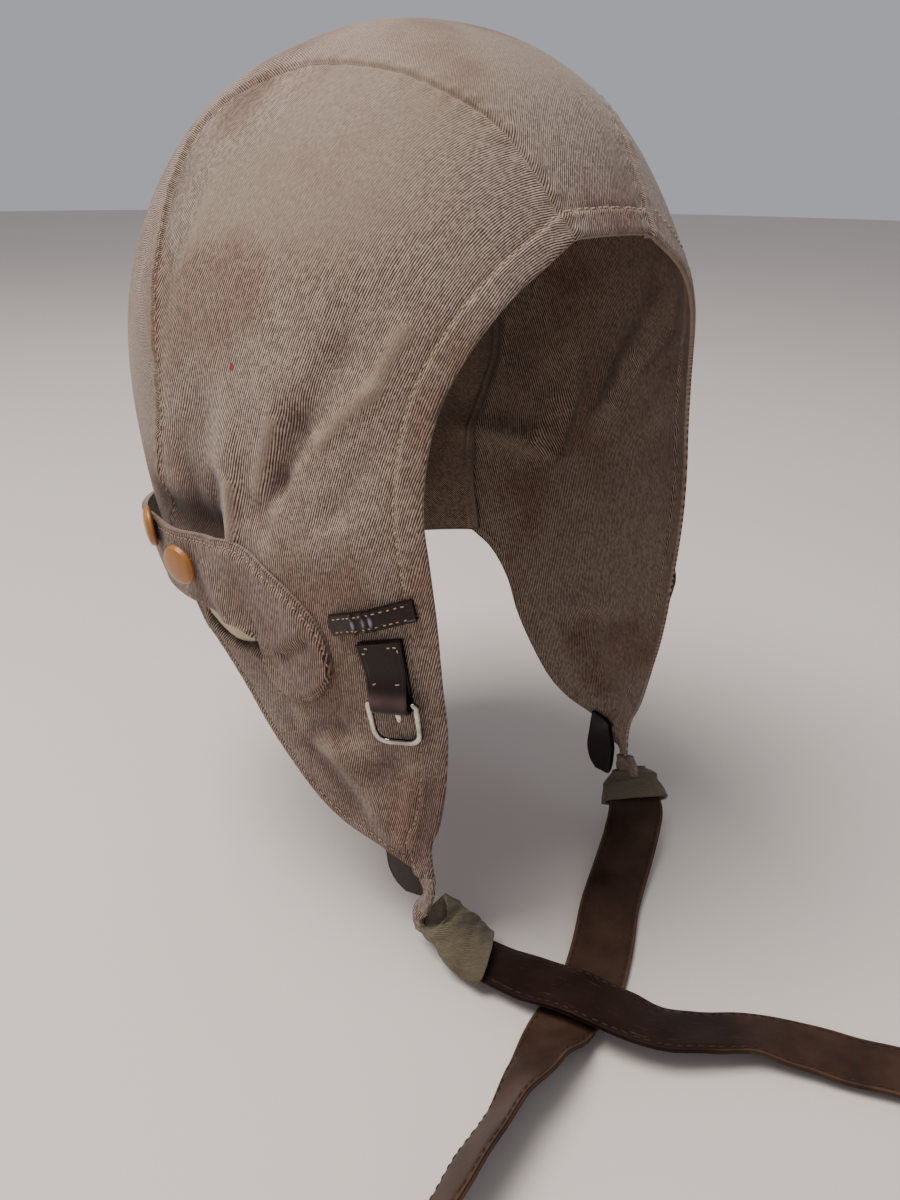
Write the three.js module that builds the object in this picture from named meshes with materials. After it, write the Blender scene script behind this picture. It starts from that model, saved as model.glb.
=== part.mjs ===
// Aviator's cloth cap: a twill skull cap with a centre panel, two side panels that run down as
// ear flaps, stitched ear pockets with a studded nape band, leather keepers and buckle tabs,
// and two leather chin straps. Millimetres, +Z up, the wearer faces -Y, the wearer's right is -X.
// The origin is the crown of the head that carries the cap.
import * as THREE from "three";

// Driving dimensions
const clothWall = 1.4;
const hemWidth = 8;
const hemStep = 0.5;
const doubledWall = 2.0;
const leatherWall = 1.6;
const pieceGap = 0.3;
const seamGap = 0.4;
const strapWidth = 19;
const strapThickness = 2.2;
const wireRadius = 1.1;
const studRadius = 6.4;
const studHeight = 3.0;
const tabWidth = 12.8;
const keeperWidth = 6.0;

// Head form: an upper dome and a lower skirt, both measured from a level that tilts with the head
const dome = {
  halfWidth: 75.5,
  front: 88.9,
  back: 100.4,
  rise: 107.2,
  centreY: -0.9,
  centreZ: -106.0,
  tilt: 0.165,
  roundAcross: 2.45,
  roundUp: 2.27,
};

// The skirt below the widest level: how far down, half the width, the reach forward and back
const skirtRows = [
  { drop: 0, halfWidth: 75.5, front: 88.9, back: 100.4 },
  { drop: 25, halfWidth: 74.8, front: 88.5, back: 98.5 },
  { drop: 50, halfWidth: 71.5, front: 87.0, back: 92.0 },
  { drop: 80, halfWidth: 65.5, front: 83.0, back: 84.0 },
  { drop: 110, halfWidth: 59.5, front: 78.0, back: 78.0 },
  { drop: 140, halfWidth: 54.5, front: 74.0, back: 73.0 },
  { drop: 180, halfWidth: 50.0, front: 70.0, back: 70.0 },
];

// The long seam beside the centre panel, from the brow over the crown down to the nape
const seamRows = [
  { x: -16.4, y: -76.0, z: -50.5 },
  { x: -19.1, y: -72.4, z: -44.7 },
  { x: -22.2, y: -64.5, z: -33.4 },
  { x: -25.2, y: -56.5, z: -25.3 },
  { x: -30.5, y: -47.0, z: -19.2 },
  { x: -35.5, y: -34.5, z: -14.2 },
  { x: -40.0, y: -19.0, z: -11.9 },
  { x: -41.5, y: 0.0, z: -10.6 },
  { x: -41.5, y: 18.0, z: -13.0 },
  { x: -45.0, y: 33.0, z: -20.5 },
  { x: -51.0, y: 41.0, z: -30.0 },
  { x: -58.0, y: 41.0, z: -41.5 },
  { x: -65.0, y: 36.5, z: -54.0 },
  { x: -70.5, y: 33.0, z: -71.3 },
  { x: -73.8, y: 28.5, z: -92.0 },
  { x: -74.2, y: 27.0, z: -106.0 },
  { x: -73.0, y: 30.0, z: -127.0 },
  { x: -70.0, y: 33.0, z: -150.0 },
  { x: -65.5, y: 34.0, z: -175.0 },
];

// The face edge of a side panel, from the brow seam round the cheek to the front of the tail
const hemRows = [
  { x: -16.4, y: -76.0, z: -50.5 },
  { x: -27.8, y: -75.8, z: -56.6 },
  { x: -35.2, y: -74.7, z: -61.2 },
  { x: -41.9, y: -73.1, z: -67.1 },
  { x: -46.9, y: -71.5, z: -72.9 },
  { x: -52.5, y: -69.0, z: -81.8 },
  { x: -55.8, y: -67.4, z: -90.0 },
  { x: -58.2, y: -66.3, z: -102.0 },
  { x: -59.2, y: -66.4, z: -114.6 },
  { x: -58.6, y: -67.9, z: -127.0 },
  { x: -57.4, y: -69.3, z: -142.0 },
  { x: -55.2, y: -69.6, z: -163.0 },
  { x: -53.5, y: -69.8, z: -176.0 },
  { x: -52.4, y: -68.8, z: -188.7 },
  { x: -51.7, y: -67.0, z: -201.2 },
  { x: -51.4, y: -64.3, z: -214.0 },
  { x: -51.6, y: -61.6, z: -221.0 },
  { x: -51.4, y: -61.0, z: -225.2 },
  { x: -50.5, y: -61.8, z: -235.4 },
];

// The rear edge of the ear flap, from the nape seam down to the back of the tail
const rearRows = [
  { x: -65.5, y: 34.0, z: -175.0 },
  { x: -64.6, y: 22.0, z: -180.4 },
  { x: -63.8, y: 12.0, z: -190.0 },
  { x: -61.5, y: 4.0, z: -202.0 },
  { x: -59.5, y: -6.0, z: -213.0 },
  { x: -58.0, y: -17.5, z: -222.5 },
  { x: -56.8, y: -28.0, z: -226.8 },
  { x: -55.1, y: -44.0, z: -228.9 },
  { x: -53.3, y: -51.4, z: -231.4 },
  { x: -52.1, y: -55.6, z: -234.0 },
];

// Folds of the cloth seen from the side: the two ends, the half width and the height of the ridge
const foldRows = [
  { y0: -8, z0: -104, y1: -1, z1: -134, reach: 8, height: 1.4 },
  { y0: 6, z0: -100, y1: 12, z1: -130, reach: 10, height: -1.6 },
  { y0: -40, z0: -96, y1: -10, z1: -128, reach: 8, height: -1.3 },
  { y0: -30, z0: -86, y1: 0, z1: -112, reach: 9, height: 1.0 },
  { y0: -50, z0: -120, y1: -22, z1: -132, reach: 7, height: 0.9 },
  { y0: -34, z0: -196, y1: -50, z1: -222, reach: 6, height: 1.8 },
  { y0: -16, z0: -196, y1: -34, z1: -216, reach: 6, height: -1.5 },
  { y0: -62, z0: -196, y1: -56, z1: -226, reach: 5, height: -1.2 },
];

// Flat spots and swells of the worn dome: centre, reach and depth
const dentRows = [
  { x: 22, y: -68, z: -42, reach: 20, depth: -1.8 },
  { x: -57, y: 46, z: -42, reach: 24, depth: -1.6 },
  { x: -42, y: 14, z: -14, reach: 22, depth: -1.0 },
];

// The two edges of the ear pocket and its nape band, from the front of the pocket to the nape
const pocketRows = [
  { yTop: -38.3, zTop: -162.6, yLow: -37.4, zLow: -167.0 },
  { yTop: -38.8, zTop: -157.1, yLow: -35.6, zLow: -170.6 },
  { yTop: -36.8, zTop: -150.8, yLow: -31.6, zLow: -175.4 },
  { yTop: -31.5, zTop: -145.0, yLow: -25.2, zLow: -180.4 },
  { yTop: -23.5, zTop: -139.6, yLow: -16.6, zLow: -183.5 },
  { yTop: -13.5, zTop: -135.0, yLow: -10.0, zLow: -180.3 },
  { yTop: -3.6, zTop: -133.2, yLow: -12.2, zLow: -165.8 },
  { yTop: 5.5, zTop: -134.6, yLow: -6.5, zLow: -159.6 },
  { yTop: 15.5, zTop: -135.8, yLow: 2.8, zLow: -159.0 },
  { yTop: 25.6, zTop: -136.6, yLow: 11.9, zLow: -158.4 },
];

// The nape band behind the ear: degrees past the ear line, and its upper and lower edge
const bandRows = [
  { turn: 30, zTop: -137.6, zLow: -160.6 },
  { turn: 45, zTop: -142.2, zLow: -163.6 },
  { turn: 60, zTop: -145.6, zLow: -166.4 },
  { turn: 75, zTop: -147.4, zLow: -168.2 },
  { turn: 90, zTop: -148.4, zLow: -169.4 },
  { turn: 102, zTop: -149.0, zLow: -169.8 },
];

// How far the band stands off the cap: past the ear, and on each side where its ends overlap
const bandStandOff = { ear: 3.1, right: 3.35, left: 0.65 };
const pocketLift = 0.7;

// Press studs: the share of the pocket's length from its front, the share of its depth, the lean
const studRows = [
  { along: 0.597, down: 0.46, lean: 0.2 },
  { along: 0.664, down: 0.22, lean: 0 },
];

// The leather keeper strip: its upper edge, rear end to front end, seen from the side
const keeperRows = [
  { y: -41.2, z: -145.3 },
  { y: -53.5, z: -140.0 },
  { y: -64.8, z: -135.5 },
];
const keeperTurn = { y: -1.0, z: -keeperWidth };

// The buckle tab: the middle of its upper end, the way it hangs, and its length to the wire
const tabTop = { y: -56.0, z: -149.2 };
const tabFall = { y: -1.9, z: -18.3 };
const tabTaper = { top: 1, fold: 0.86 };
const tabShear = 0.12;
const tabLift = 0.8;

// The chin straps: the middle line, and how far the width is rolled about it in degrees
const nearStrapRows = [
  { x: -43.9, y: -75.4, z: -259.2, roll: 10 },
  { x: -42.1, y: -79.4, z: -260.6, roll: 8 },
  { x: -39.0, y: -92.3, z: -260.0, roll: 4 },
  { x: -35.8, y: -106.8, z: -257.4, roll: 4 },
  { x: -33.6, y: -120.5, z: -256.2, roll: 6 },
  { x: -28.6, y: -131.5, z: -257.8, roll: 12 },
  { x: -19.6, y: -140.2, z: -259.9, roll: 15 },
  { x: -9.2, y: -149.7, z: -260.9, roll: 14 },
  { x: -1.9, y: -161.5, z: -262.0, roll: 8 },
  { x: 3.9, y: -173.6, z: -262.6, roll: 5 },
  { x: 10.0, y: -185.1, z: -262.6, roll: 5 },
  { x: 15.0, y: -194.5, z: -262.6, roll: 5 },
];
const farStrapRows = [
  { x: 48.0, y: -67.2, z: -249.0, roll: 0 },
  { x: 45.0, y: -70.6, z: -251.6, roll: 0 },
  { x: 38.0, y: -74.4, z: -255.4, roll: 0 },
  { x: 27.0, y: -79.2, z: -259.6, roll: 0 },
  { x: 7.7, y: -87.8, z: -262.6, roll: 0 },
  { x: -10.7, y: -98.2, z: -263.3, roll: 0 },
  { x: -26.2, y: -105.4, z: -263.2, roll: 0 },
  { x: -44.6, y: -109.8, z: -261.7, roll: -9 },
  { x: -63.0, y: -114.7, z: -257.7, roll: -36 },
  { x: -80.3, y: -119.1, z: -256.2, roll: -54 },
  { x: -94.6, y: -122.1, z: -256.0, roll: -54 },
  { x: -108.4, y: -125.8, z: -256.0, roll: -54 },
  { x: -118.0, y: -128.4, z: -256.0, roll: -54 },
];

// The turned cloth sleeves between tail and strap: middle line, width direction, half sizes
const nearSleeveRows = [
  { x: -50.8, y: -60.0, z: -236.2, wx: -0.12, wy: 1.0, wz: 0.0, half: 3.3, deep: 1.9 },
  { x: -51.2, y: -60.2, z: -243.0, wx: 0.05, wy: 0.95, wz: 0.3, half: 4.2, deep: 2.3 },
  { x: -49.7, y: -63.9, z: -250.4, wx: -0.4, wy: 0.3, wz: 0.85, half: 7.4, deep: 3.3 },
  { x: -46.2, y: -70.4, z: -257.1, wx: -0.87, wy: -0.46, wz: 0.17, half: 11.6, deep: 3.7 },
  { x: -43.0, y: -77.3, z: -259.9, wx: -0.87, wy: -0.46, wz: 0.17, half: 12.4, deep: 4.1 },
];
const farSleeveRows = [
  { x: 50.8, y: -60.2, z: -236.9, wx: 0.12, wy: 1.0, wz: 0.0, half: 3.3, deep: 1.9 },
  { x: 50.5, y: -63.7, z: -245.7, wx: -0.7, wy: 0.7, wz: 0.0, half: 10.8, deep: 3.9 },
  { x: 46.7, y: -68.6, z: -250.1, wx: -0.75, wy: 0.66, wz: 0.0, half: 12.5, deep: 4.2 },
];
const sleeveWall = 1.3;

const materialOf = {
  twill: new THREE.MeshStandardMaterial({ color: 0xa09080, roughness: 0.9, metalness: 0 }),
  chamois: new THREE.MeshStandardMaterial({ color: 0xc4b697, roughness: 0.95, metalness: 0 }),
  darkLeather: new THREE.MeshStandardMaterial({ color: 0x2b1c1a, roughness: 0.4, metalness: 0 }),
  strapLeather: new THREE.MeshStandardMaterial({ color: 0x3d2a20, roughness: 0.7, metalness: 0 }),
  nickel: new THREE.MeshStandardMaterial({ color: 0xc9c7c2, roughness: 0.25, metalness: 1 }),
  enamel: new THREE.MeshStandardMaterial({ color: 0xb97a38, roughness: 0.35, metalness: 0 }),
};

const group = new THREE.Group();

// Smooth step from 0 to 1 between two values
function smooth(low, high, value) {
  const t = Math.min(1, Math.max(0, (value - low) / (high - low)));
  return t * t * (3 - 2 * t);
}

// A skirt column at a distance below the widest level, eased through the rows
function skirtAt(drop, column) {
  const last = skirtRows.length - 1;
  const d = Math.min(Math.max(drop, 0), skirtRows[last].drop);
  let i = 0;
  while (i < last - 1 && skirtRows[i + 1].drop < d) i += 1;
  const a = skirtRows[i];
  const b = skirtRows[i + 1];
  const before = i > 0 ? skirtRows[i - 1] : null;
  const after = i < last - 1 ? skirtRows[i + 2] : null;
  const span = b.drop - a.drop;
  const slopeA = before ? (b[column] - before[column]) / (b.drop - before.drop) : 0;
  const slopeEnd = (b[column] - a[column]) / span;
  const slopeB = after ? (after[column] - a[column]) / (after.drop - a.drop) : slopeEnd;
  const t = (d - a.drop) / span;
  const h1 = (2 * t - 3) * t * t + 1;
  const h2 = ((t - 2) * t + 1) * t;
  const h3 = (3 - 2 * t) * t * t;
  const h4 = (t - 1) * t * t;
  return h1 * a[column] + h2 * span * slopeA + h3 * b[column] + h4 * span * slopeB;
}

// Turn between the world and the tilted frame of the head
function toHead(p) {
  const y = p.y - dome.centreY;
  const z = p.z - dome.centreZ;
  const s = Math.sin(dome.tilt);
  const c = Math.cos(dome.tilt);
  return new THREE.Vector3(p.x, c * y - s * z, s * y + c * z);
}

function toWorld(q) {
  const s = Math.sin(dome.tilt);
  const c = Math.cos(dome.tilt);
  return new THREE.Vector3(q.x, c * q.y + s * q.z + dome.centreY, -s * q.y + c * q.z + dome.centreZ);
}

// Level of the head form at a point: 0 on the cloth's outer face, less inside
function formLevel(p) {
  const q = toHead(p);
  const drop = Math.max(0, -q.z);
  const wide = skirtAt(drop, "halfWidth");
  const long = skirtAt(drop, q.y < 0 ? "front" : "back");
  const n = dome.roundAcross;
  const across = Math.pow(Math.pow(Math.abs(q.x) / wide, n) + Math.pow(Math.abs(q.y) / long, n), 1 / n);
  if (q.z < 0) return across - 1;
  const m = dome.roundUp;
  return Math.pow(Math.pow(across, m) + Math.pow(q.z / dome.rise, m), 1 / m) - 1;
}

// The point of the head's middle line that a surface point is seen from
function heartOf(p) {
  const q = toHead(p);
  return toWorld(new THREE.Vector3(0, 0, Math.min(0, q.z)));
}

// Where a ray from inside the head comes out of the form
const reachLimit = 180;
const halvings = 40;
function formAlong(from, way) {
  let near = 0;
  let far = reachLimit;
  for (let k = 0; k < halvings; k += 1) {
    const mid = (near + far) / 2;
    if (formLevel(from.clone().addScaledVector(way, mid)) < 0) near = mid;
    else far = mid;
  }
  return from.clone().addScaledVector(way, near);
}

// Move a point along its ray from the middle line until it lies on the form
function settle(p) {
  const heart = heartOf(p);
  return formAlong(heart, p.clone().sub(heart).normalize());
}

// Outward direction of the form at a point on it
function outward(p) {
  const step = 0.5;
  const slope = new THREE.Vector3();
  for (const axis of ["x", "y", "z"]) {
    const ahead = p.clone();
    const behind = p.clone();
    ahead[axis] += step;
    behind[axis] -= step;
    slope[axis] = formLevel(ahead) - formLevel(behind);
  }
  return slope.normalize();
}

// Distance from a point to a segment in the side view
function awayFrom(row, y, z) {
  const dy = row.y1 - row.y0;
  const dz = row.z1 - row.z0;
  const t = Math.min(1, Math.max(0, ((y - row.y0) * dy + (z - row.z0) * dz) / (dy * dy + dz * dz)));
  return Math.hypot(y - row.y0 - t * dy, z - row.z0 - t * dz);
}

// Height of the cloth above the form from its folds, which fade out on the crown, and flat spots
const foldFade = { none: 30, full: 48 };
function drape(p) {
  let height = 0;
  const beside = smooth(foldFade.none, foldFade.full, Math.abs(p.x));
  for (const row of foldRows) {
    const away = awayFrom(row, p.y, p.z) / row.reach;
    height += beside * row.height * Math.exp(-away * away);
  }
  for (const row of dentRows) {
    const away = Math.hypot(p.x - row.x, p.y - row.y, p.z - row.z) / row.reach;
    height += row.depth * Math.exp(-away * away);
  }
  return height;
}

// A point of the dressed surface, lifted above the cloth's outer face
function dressed(p, lift) {
  const on = settle(p);
  return on.clone().addScaledVector(outward(on), drape(on) + lift);
}

// Points evenly spaced on a smooth curve through the rows
function curveThrough(rows, count) {
  const points = rows.map((row) => new THREE.Vector3(row.x, row.y, row.z));
  return new THREE.CatmullRomCurve3(points, false, "centripetal").getSpacedPoints(count);
}

// Points at stated distances along a smooth curve through the rows
function curveAt(rows, distances) {
  const points = rows.map((row) => new THREE.Vector3(row.x, row.y, row.z));
  const curve = new THREE.CatmullRomCurve3(points, false, "centripetal");
  const length = curve.getLength();
  return distances.map((d) => curve.getPointAt(Math.min(1, d / length)));
}

// A closed solid between two grids of points, the outer face first
function wallBetween(outer, inner) {
  const rows = outer.length;
  const cols = outer[0].length;
  const positions = [];
  for (const grid of [outer, inner]) {
    for (const line of grid) {
      for (const p of line) positions.push(p.x, p.y, p.z);
    }
  }
  const out = (i, j) => i * cols + j;
  const under = (i, j) => rows * cols + i * cols + j;
  const faces = [];
  const quad = (a, b, c, d) => faces.push(a, b, c, a, c, d);
  for (let i = 0; i < rows - 1; i += 1) {
    for (let j = 0; j < cols - 1; j += 1) {
      quad(out(i, j), out(i + 1, j), out(i + 1, j + 1), out(i, j + 1));
      quad(under(i, j), under(i, j + 1), under(i + 1, j + 1), under(i + 1, j));
    }
  }
  for (let i = 0; i < rows - 1; i += 1) {
    quad(out(i, 0), under(i, 0), under(i + 1, 0), out(i + 1, 0));
    quad(out(i, cols - 1), out(i + 1, cols - 1), under(i + 1, cols - 1), under(i, cols - 1));
  }
  for (let j = 0; j < cols - 1; j += 1) {
    quad(out(0, j), out(0, j + 1), under(0, j + 1), under(0, j));
    quad(out(rows - 1, j), under(rows - 1, j), under(rows - 1, j + 1), out(rows - 1, j + 1));
  }
  return facingOut(positions, faces);
}

// A geometry whose faces are turned outwards by the sign of its volume
function facingOut(positions, faces) {
  let volume = 0;
  const at = (k) => new THREE.Vector3(positions[3 * k], positions[3 * k + 1], positions[3 * k + 2]);
  for (let k = 0; k < faces.length; k += 3) {
    volume += at(faces[k]).dot(at(faces[k + 1]).cross(at(faces[k + 2])));
  }
  if (volume < 0) {
    for (let k = 0; k < faces.length; k += 3) [faces[k + 1], faces[k + 2]] = [faces[k + 2], faces[k + 1]];
  }
  const geometry = new THREE.BufferGeometry();
  geometry.setAttribute("position", new THREE.Float32BufferAttribute(positions, 3));
  geometry.setIndex(faces);
  geometry.computeVertexNormals();
  return geometry;
}

// Draw an edge line of a grid squarely in towards the line inside it
function drawEdge(edge, inside, amount) {
  const last = edge.length - 1;
  const ways = edge.map((p, k) => {
    const along = edge[Math.min(k + 1, last)].clone().sub(edge[Math.max(k - 1, 0)]).normalize();
    const way = inside[k].clone().sub(p);
    return way.addScaledVector(along, -way.dot(along)).normalize();
  });
  edge.forEach((p, k) => p.addScaledVector(ways[k], amount));
}

// Draw the sewn edges of a grid in so that neighbours keep their gap
function drawIn(grid, amount, edges) {
  const end = grid[0].length - 1;
  const line = (j) => grid.map((row) => row[j]);
  if (edges.includes("left")) drawEdge(line(0), line(1), amount);
  if (edges.includes("right")) drawEdge(line(end), line(end - 1), amount);
  if (edges.includes("start")) drawEdge(grid[0], grid[1], amount);
}

function addPiece(name, geometry, material) {
  const mesh = new THREE.Mesh(geometry, material);
  mesh.name = name;
  group.add(mesh);
  return mesh;
}

// A wall made from a grid of places on the form, with a lift for each place
function wallOnForm(places, liftAt, thickness, sewnEdges) {
  const outer = places.map((line, i) => line.map((p, j) => dressed(p, liftAt(i, j) + thickness)));
  const inner = places.map((line, i) => line.map((p, j) => dressed(p, liftAt(i, j))));
  drawIn(outer, seamGap / 2, sewnEdges);
  drawIn(inner, seamGap / 2, sewnEdges);
  return wallBetween(outer, inner);
}

const mirrored = (p) => new THREE.Vector3(-p.x, p.y, p.z);
const sides = [
  { name: "right", flip: (p) => p },
  { name: "left", flip: mirrored },
];

// Shared stations along the long seam: the hem's width first, then even steps
const seamSteps = 36;
const seamLength = new THREE.CatmullRomCurve3(
  seamRows.map((row) => new THREE.Vector3(row.x, row.y, row.z)),
  false,
  "centripetal",
).getLength();
const seamStations = [0];
for (let k = 0; k < seamSteps; k += 1) {
  seamStations.push(hemWidth + ((seamLength - hemWidth) * k) / (seamSteps - 1));
}
const seamLine = curveAt(seamRows, seamStations).map(settle);

// Centre panel: from the brow over the crown and the whole back of the head to the nape
const centreCells = 12;
function centreGrid() {
  return seamLine.map((right) => {
    const heart = heartOf(right);
    const a = right.clone().sub(heart).normalize();
    const half = Math.atan2(Math.abs(a.x), Math.hypot(a.y, a.z));
    const middle = new THREE.Vector3(0, a.y, a.z).normalize();
    const line = [];
    for (let j = 0; j <= centreCells; j += 1) {
      const angle = half * ((2 * j) / centreCells - 1);
      const way = middle.clone().multiplyScalar(Math.cos(angle));
      way.x = Math.sin(angle);
      line.push(formAlong(heart, way));
    }
    return line;
  });
}
const hemLift = (step) => (step < 2 ? hemStep : 0);
addPiece(
  "centre_panel",
  wallOnForm(centreGrid(), (i) => hemLift(i) - clothWall, clothWall, "left right"),
  materialOf.twill,
);

// Side panel: its hem band, then a patch blended between the seam over the crown, the seam and
// rear edge behind the ear, the end of the tail, and the hem band
const seamCorner = 17;
const rearCells = 9;
const hemShare = 0.45;
const sideRows = seamLine.length - 1 - seamCorner + rearCells;
function sideGrid() {
  const hem = curveThrough(hemRows, sideRows).map(settle);
  const behind = seamLine.slice(seamCorner).map((p) => p.clone());
  behind.push(...curveThrough(rearRows, rearCells).slice(1).map(settle));
  const within = hem.map((p, k) => {
    if (k === 0) return seamLine[1].clone();
    const along = hem[Math.min(k + 1, sideRows)].clone().sub(hem[k - 1]).normalize();
    const across = along.cross(outward(p)).normalize();
    if (across.y < 0) across.negate();
    const width = Math.min(hemWidth, hemShare * p.distanceTo(behind[k]));
    return settle(p.clone().addScaledVector(across, width));
  });
  const grid = [];
  for (let k = 0; k <= sideRows; k += 1) {
    const v = k / sideRows;
    const line = [hem[k].clone()];
    for (let i = 1; i <= seamCorner; i += 1) {
      const u = (i - 1) / (seamCorner - 1);
      const low = within[sideRows].clone().lerp(behind[sideRows], u);
      const blend = seamLine[i].clone().lerp(low, v);
      blend.add(within[k].clone().lerp(behind[k], u));
      blend.sub(within[0].clone().lerp(behind[0], u).lerp(low, v));
      line.push(settle(blend));
    }
    grid.push(line);
  }
  return grid;
}
const sidePlaces = sideGrid();
for (const side of sides) {
  const places = sidePlaces.map((line) => line.map(side.flip));
  const wall = wallOnForm(places, (i, j) => hemLift(j) - clothWall, clothWall, "start right");
  addPiece(`side_panel_${side.name}`, wall, materialOf.twill);
}

// A place on the right side of the form at a given reach back and height
function besideAt(y, z) {
  return formAlong(new THREE.Vector3(0, y, z), new THREE.Vector3(-1, 0, 0));
}

// A place on the form round the back, by degrees past the ear line and height
function roundAt(turn, z) {
  const angle = THREE.MathUtils.degToRad(turn);
  const way = new THREE.Vector3(-Math.cos(angle), Math.sin(angle), 0);
  return formAlong(new THREE.Vector3(0, dome.centreY, z), way);
}

// Ear pocket with its half of the nape band: one doubled cloth piece over each side panel
const pocketStations = 26;
const pocketCells = 4;
const pocketLead = pocketRows.length / (pocketRows.length + bandRows.length);
const pocketTop = pocketRows.map((row) => besideAt(row.yTop, row.zTop));
const pocketLow = pocketRows.map((row) => besideAt(row.yLow, row.zLow));
for (const row of bandRows) {
  pocketTop.push(roundAt(row.turn, row.zTop));
  pocketLow.push(roundAt(row.turn, row.zLow));
}
const pocketUpper = new THREE.CatmullRomCurve3(pocketTop, false, "centripetal");
const pocketLower = new THREE.CatmullRomCurve3(pocketLow, false, "centripetal");

// A place on the pocket by the shares of its length and depth
function pocketAt(along, down) {
  return settle(pocketUpper.getPoint(along).lerp(pocketLower.getPoint(along), down));
}
function pocketGrid() {
  const grid = [];
  for (let i = 0; i <= pocketStations; i += 1) {
    const line = [];
    for (let j = 0; j <= pocketCells; j += 1) line.push(pocketAt(i / pocketStations, j / pocketCells));
    grid.push(line);
  }
  return grid;
}

// How far the pocket and band stand off the side panel: low along the sewn front,
// gaping at the slit below the ear, clear of the cap round the nape
const slitRise = { from: 0.52, to: 0.74, gape: 2.6 };
const bandRise = { from: 0.7, to: 1.0 };
const napeTurn = { from: 1.12, to: 1.38 };
function pocketStandOff(along, down, napeStandOff) {
  const s = along / pocketLead;
  const slit = smooth(slitRise.from, slitRise.to, s);
  const band = smooth(bandRise.from, bandRise.to, s);
  const nape = smooth(napeTurn.from, napeTurn.to, s);
  const gape = slitRise.gape * slit * down * down * (1 - band);
  const standOff = bandStandOff.ear + (napeStandOff - bandStandOff.ear) * nape;
  return pocketLift + gape + (standOff - pocketLift) * band;
}
const pocketPlaces = pocketGrid();
for (const side of sides) {
  const places = pocketPlaces.map((line) => line.map(side.flip));
  const napeStandOff = bandStandOff[side.name];
  const liftAt = (i, j) => pocketStandOff(i / pocketStations, j / pocketCells, napeStandOff);
  addPiece(`ear_pocket_${side.name}`, wallOnForm(places, liftAt, doubledWall, ""), materialOf.twill);
}

// Chamois lining: a thin crescent that shows below the edge of the slit
const liningWall = 0.9;
const liningStations = 8;
const liningShow = 4.2;
const liningLift = pieceGap + 0.25;
const liningTuck = 7;
const liningFrom = { y: -6.8, z: -164.4 };
const liningTo = { y: 17.5, z: -163.2 };
for (const side of sides) {
  const places = [];
  for (let i = 0; i <= liningStations; i += 1) {
    const t = i / liningStations;
    const y = liningFrom.y + (liningTo.y - liningFrom.y) * t;
    const z = liningFrom.z + (liningTo.z - liningFrom.z) * t;
    const show = liningShow * Math.sin(Math.PI * (0.06 + 0.88 * t));
    places.push([side.flip(besideAt(y, z + liningTuck)), side.flip(besideAt(y, z - show))]);
  }
  const wall = wallOnForm(places, () => liningLift, liningWall, "");
  addPiece(`pocket_lining_${side.name}`, wall, materialOf.chamois);
}

// Press studs: domed caps set on the nape band
const studProfile = [
  [0, 0],
  [studRadius * 0.94, 0],
  [studRadius, 0.7],
  [studRadius * 0.9, 1.7],
  [studRadius * 0.62, studHeight * 0.86],
  [0, studHeight],
];
const studSides = 16;
const studSeat = 0.45;
for (const side of sides) {
  studRows.forEach((row, k) => {
    const place = side.flip(pocketAt(row.along, row.down));
    const standOff = pocketStandOff(row.along, row.down, bandStandOff[side.name]);
    const axis = outward(place).add(new THREE.Vector3(0, -row.lean, 0)).normalize();
    const rise = studSeat + studRadius * row.lean;
    const seat = dressed(place, standOff + doubledWall + rise);
    const profile = studProfile.map(([r, h]) => new THREE.Vector2(r, h));
    const stud = addPiece(
      `stud_cap_${side.name}_${k + 1}`,
      new THREE.LatheGeometry(profile, studSides),
      materialOf.enamel,
    );
    stud.position.copy(seat);
    stud.quaternion.setFromUnitVectors(new THREE.Vector3(0, 1, 0), axis);
  });
}

// Keeper strip: a flat leather loop stitched across the flap, raised where the tab passes under
const keeperSteps = 10;
const keeperRise = 1.5;
const keeperLift = pieceGap + 0.4;
function keeperPlaces() {
  const curve = curveThrough(
    keeperRows.map((row) => ({ x: 0, y: row.y, z: row.z })),
    keeperSteps,
  );
  return curve.map((p) => {
    const line = [];
    for (let j = 0; j <= 2; j += 1) {
      line.push(besideAt(p.y + (keeperTurn.y * j) / 2, p.z + (keeperTurn.z * j) / 2));
    }
    return line;
  });
}
const keeperGrid = keeperPlaces();
for (const side of sides) {
  const places = keeperGrid.map((line) => line.map(side.flip));
  const liftAt = (i) => keeperLift + keeperRise * Math.sin((Math.PI * i) / keeperSteps) ** 2;
  addPiece(`keeper_strip_${side.name}`, wallOnForm(places, liftAt, leatherWall, ""), materialOf.darkLeather);
}

// Axes of a flat leather or metal piece lying on the flap below the keeper
function tabFrame() {
  const top = besideAt(tabTop.y, tabTop.z);
  const low = besideAt(tabTop.y + tabFall.y, tabTop.z + tabFall.z);
  const down = low.clone().sub(top).normalize();
  const out = outward(top.clone().lerp(low, 0.5));
  out.addScaledVector(down, -out.dot(down)).normalize();
  const across = out.clone().cross(down).normalize();
  return { top, down, out, across, length: low.distanceTo(top) };
}
const tabAxes = tabFrame();

// A point in the tab's own frame: distance down, across towards the face, and out from the cloth
function inTab(down, across, out) {
  const p = tabAxes.top.clone().addScaledVector(tabAxes.down, down);
  return p.addScaledVector(tabAxes.across, across).addScaledVector(tabAxes.out, out);
}

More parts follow.
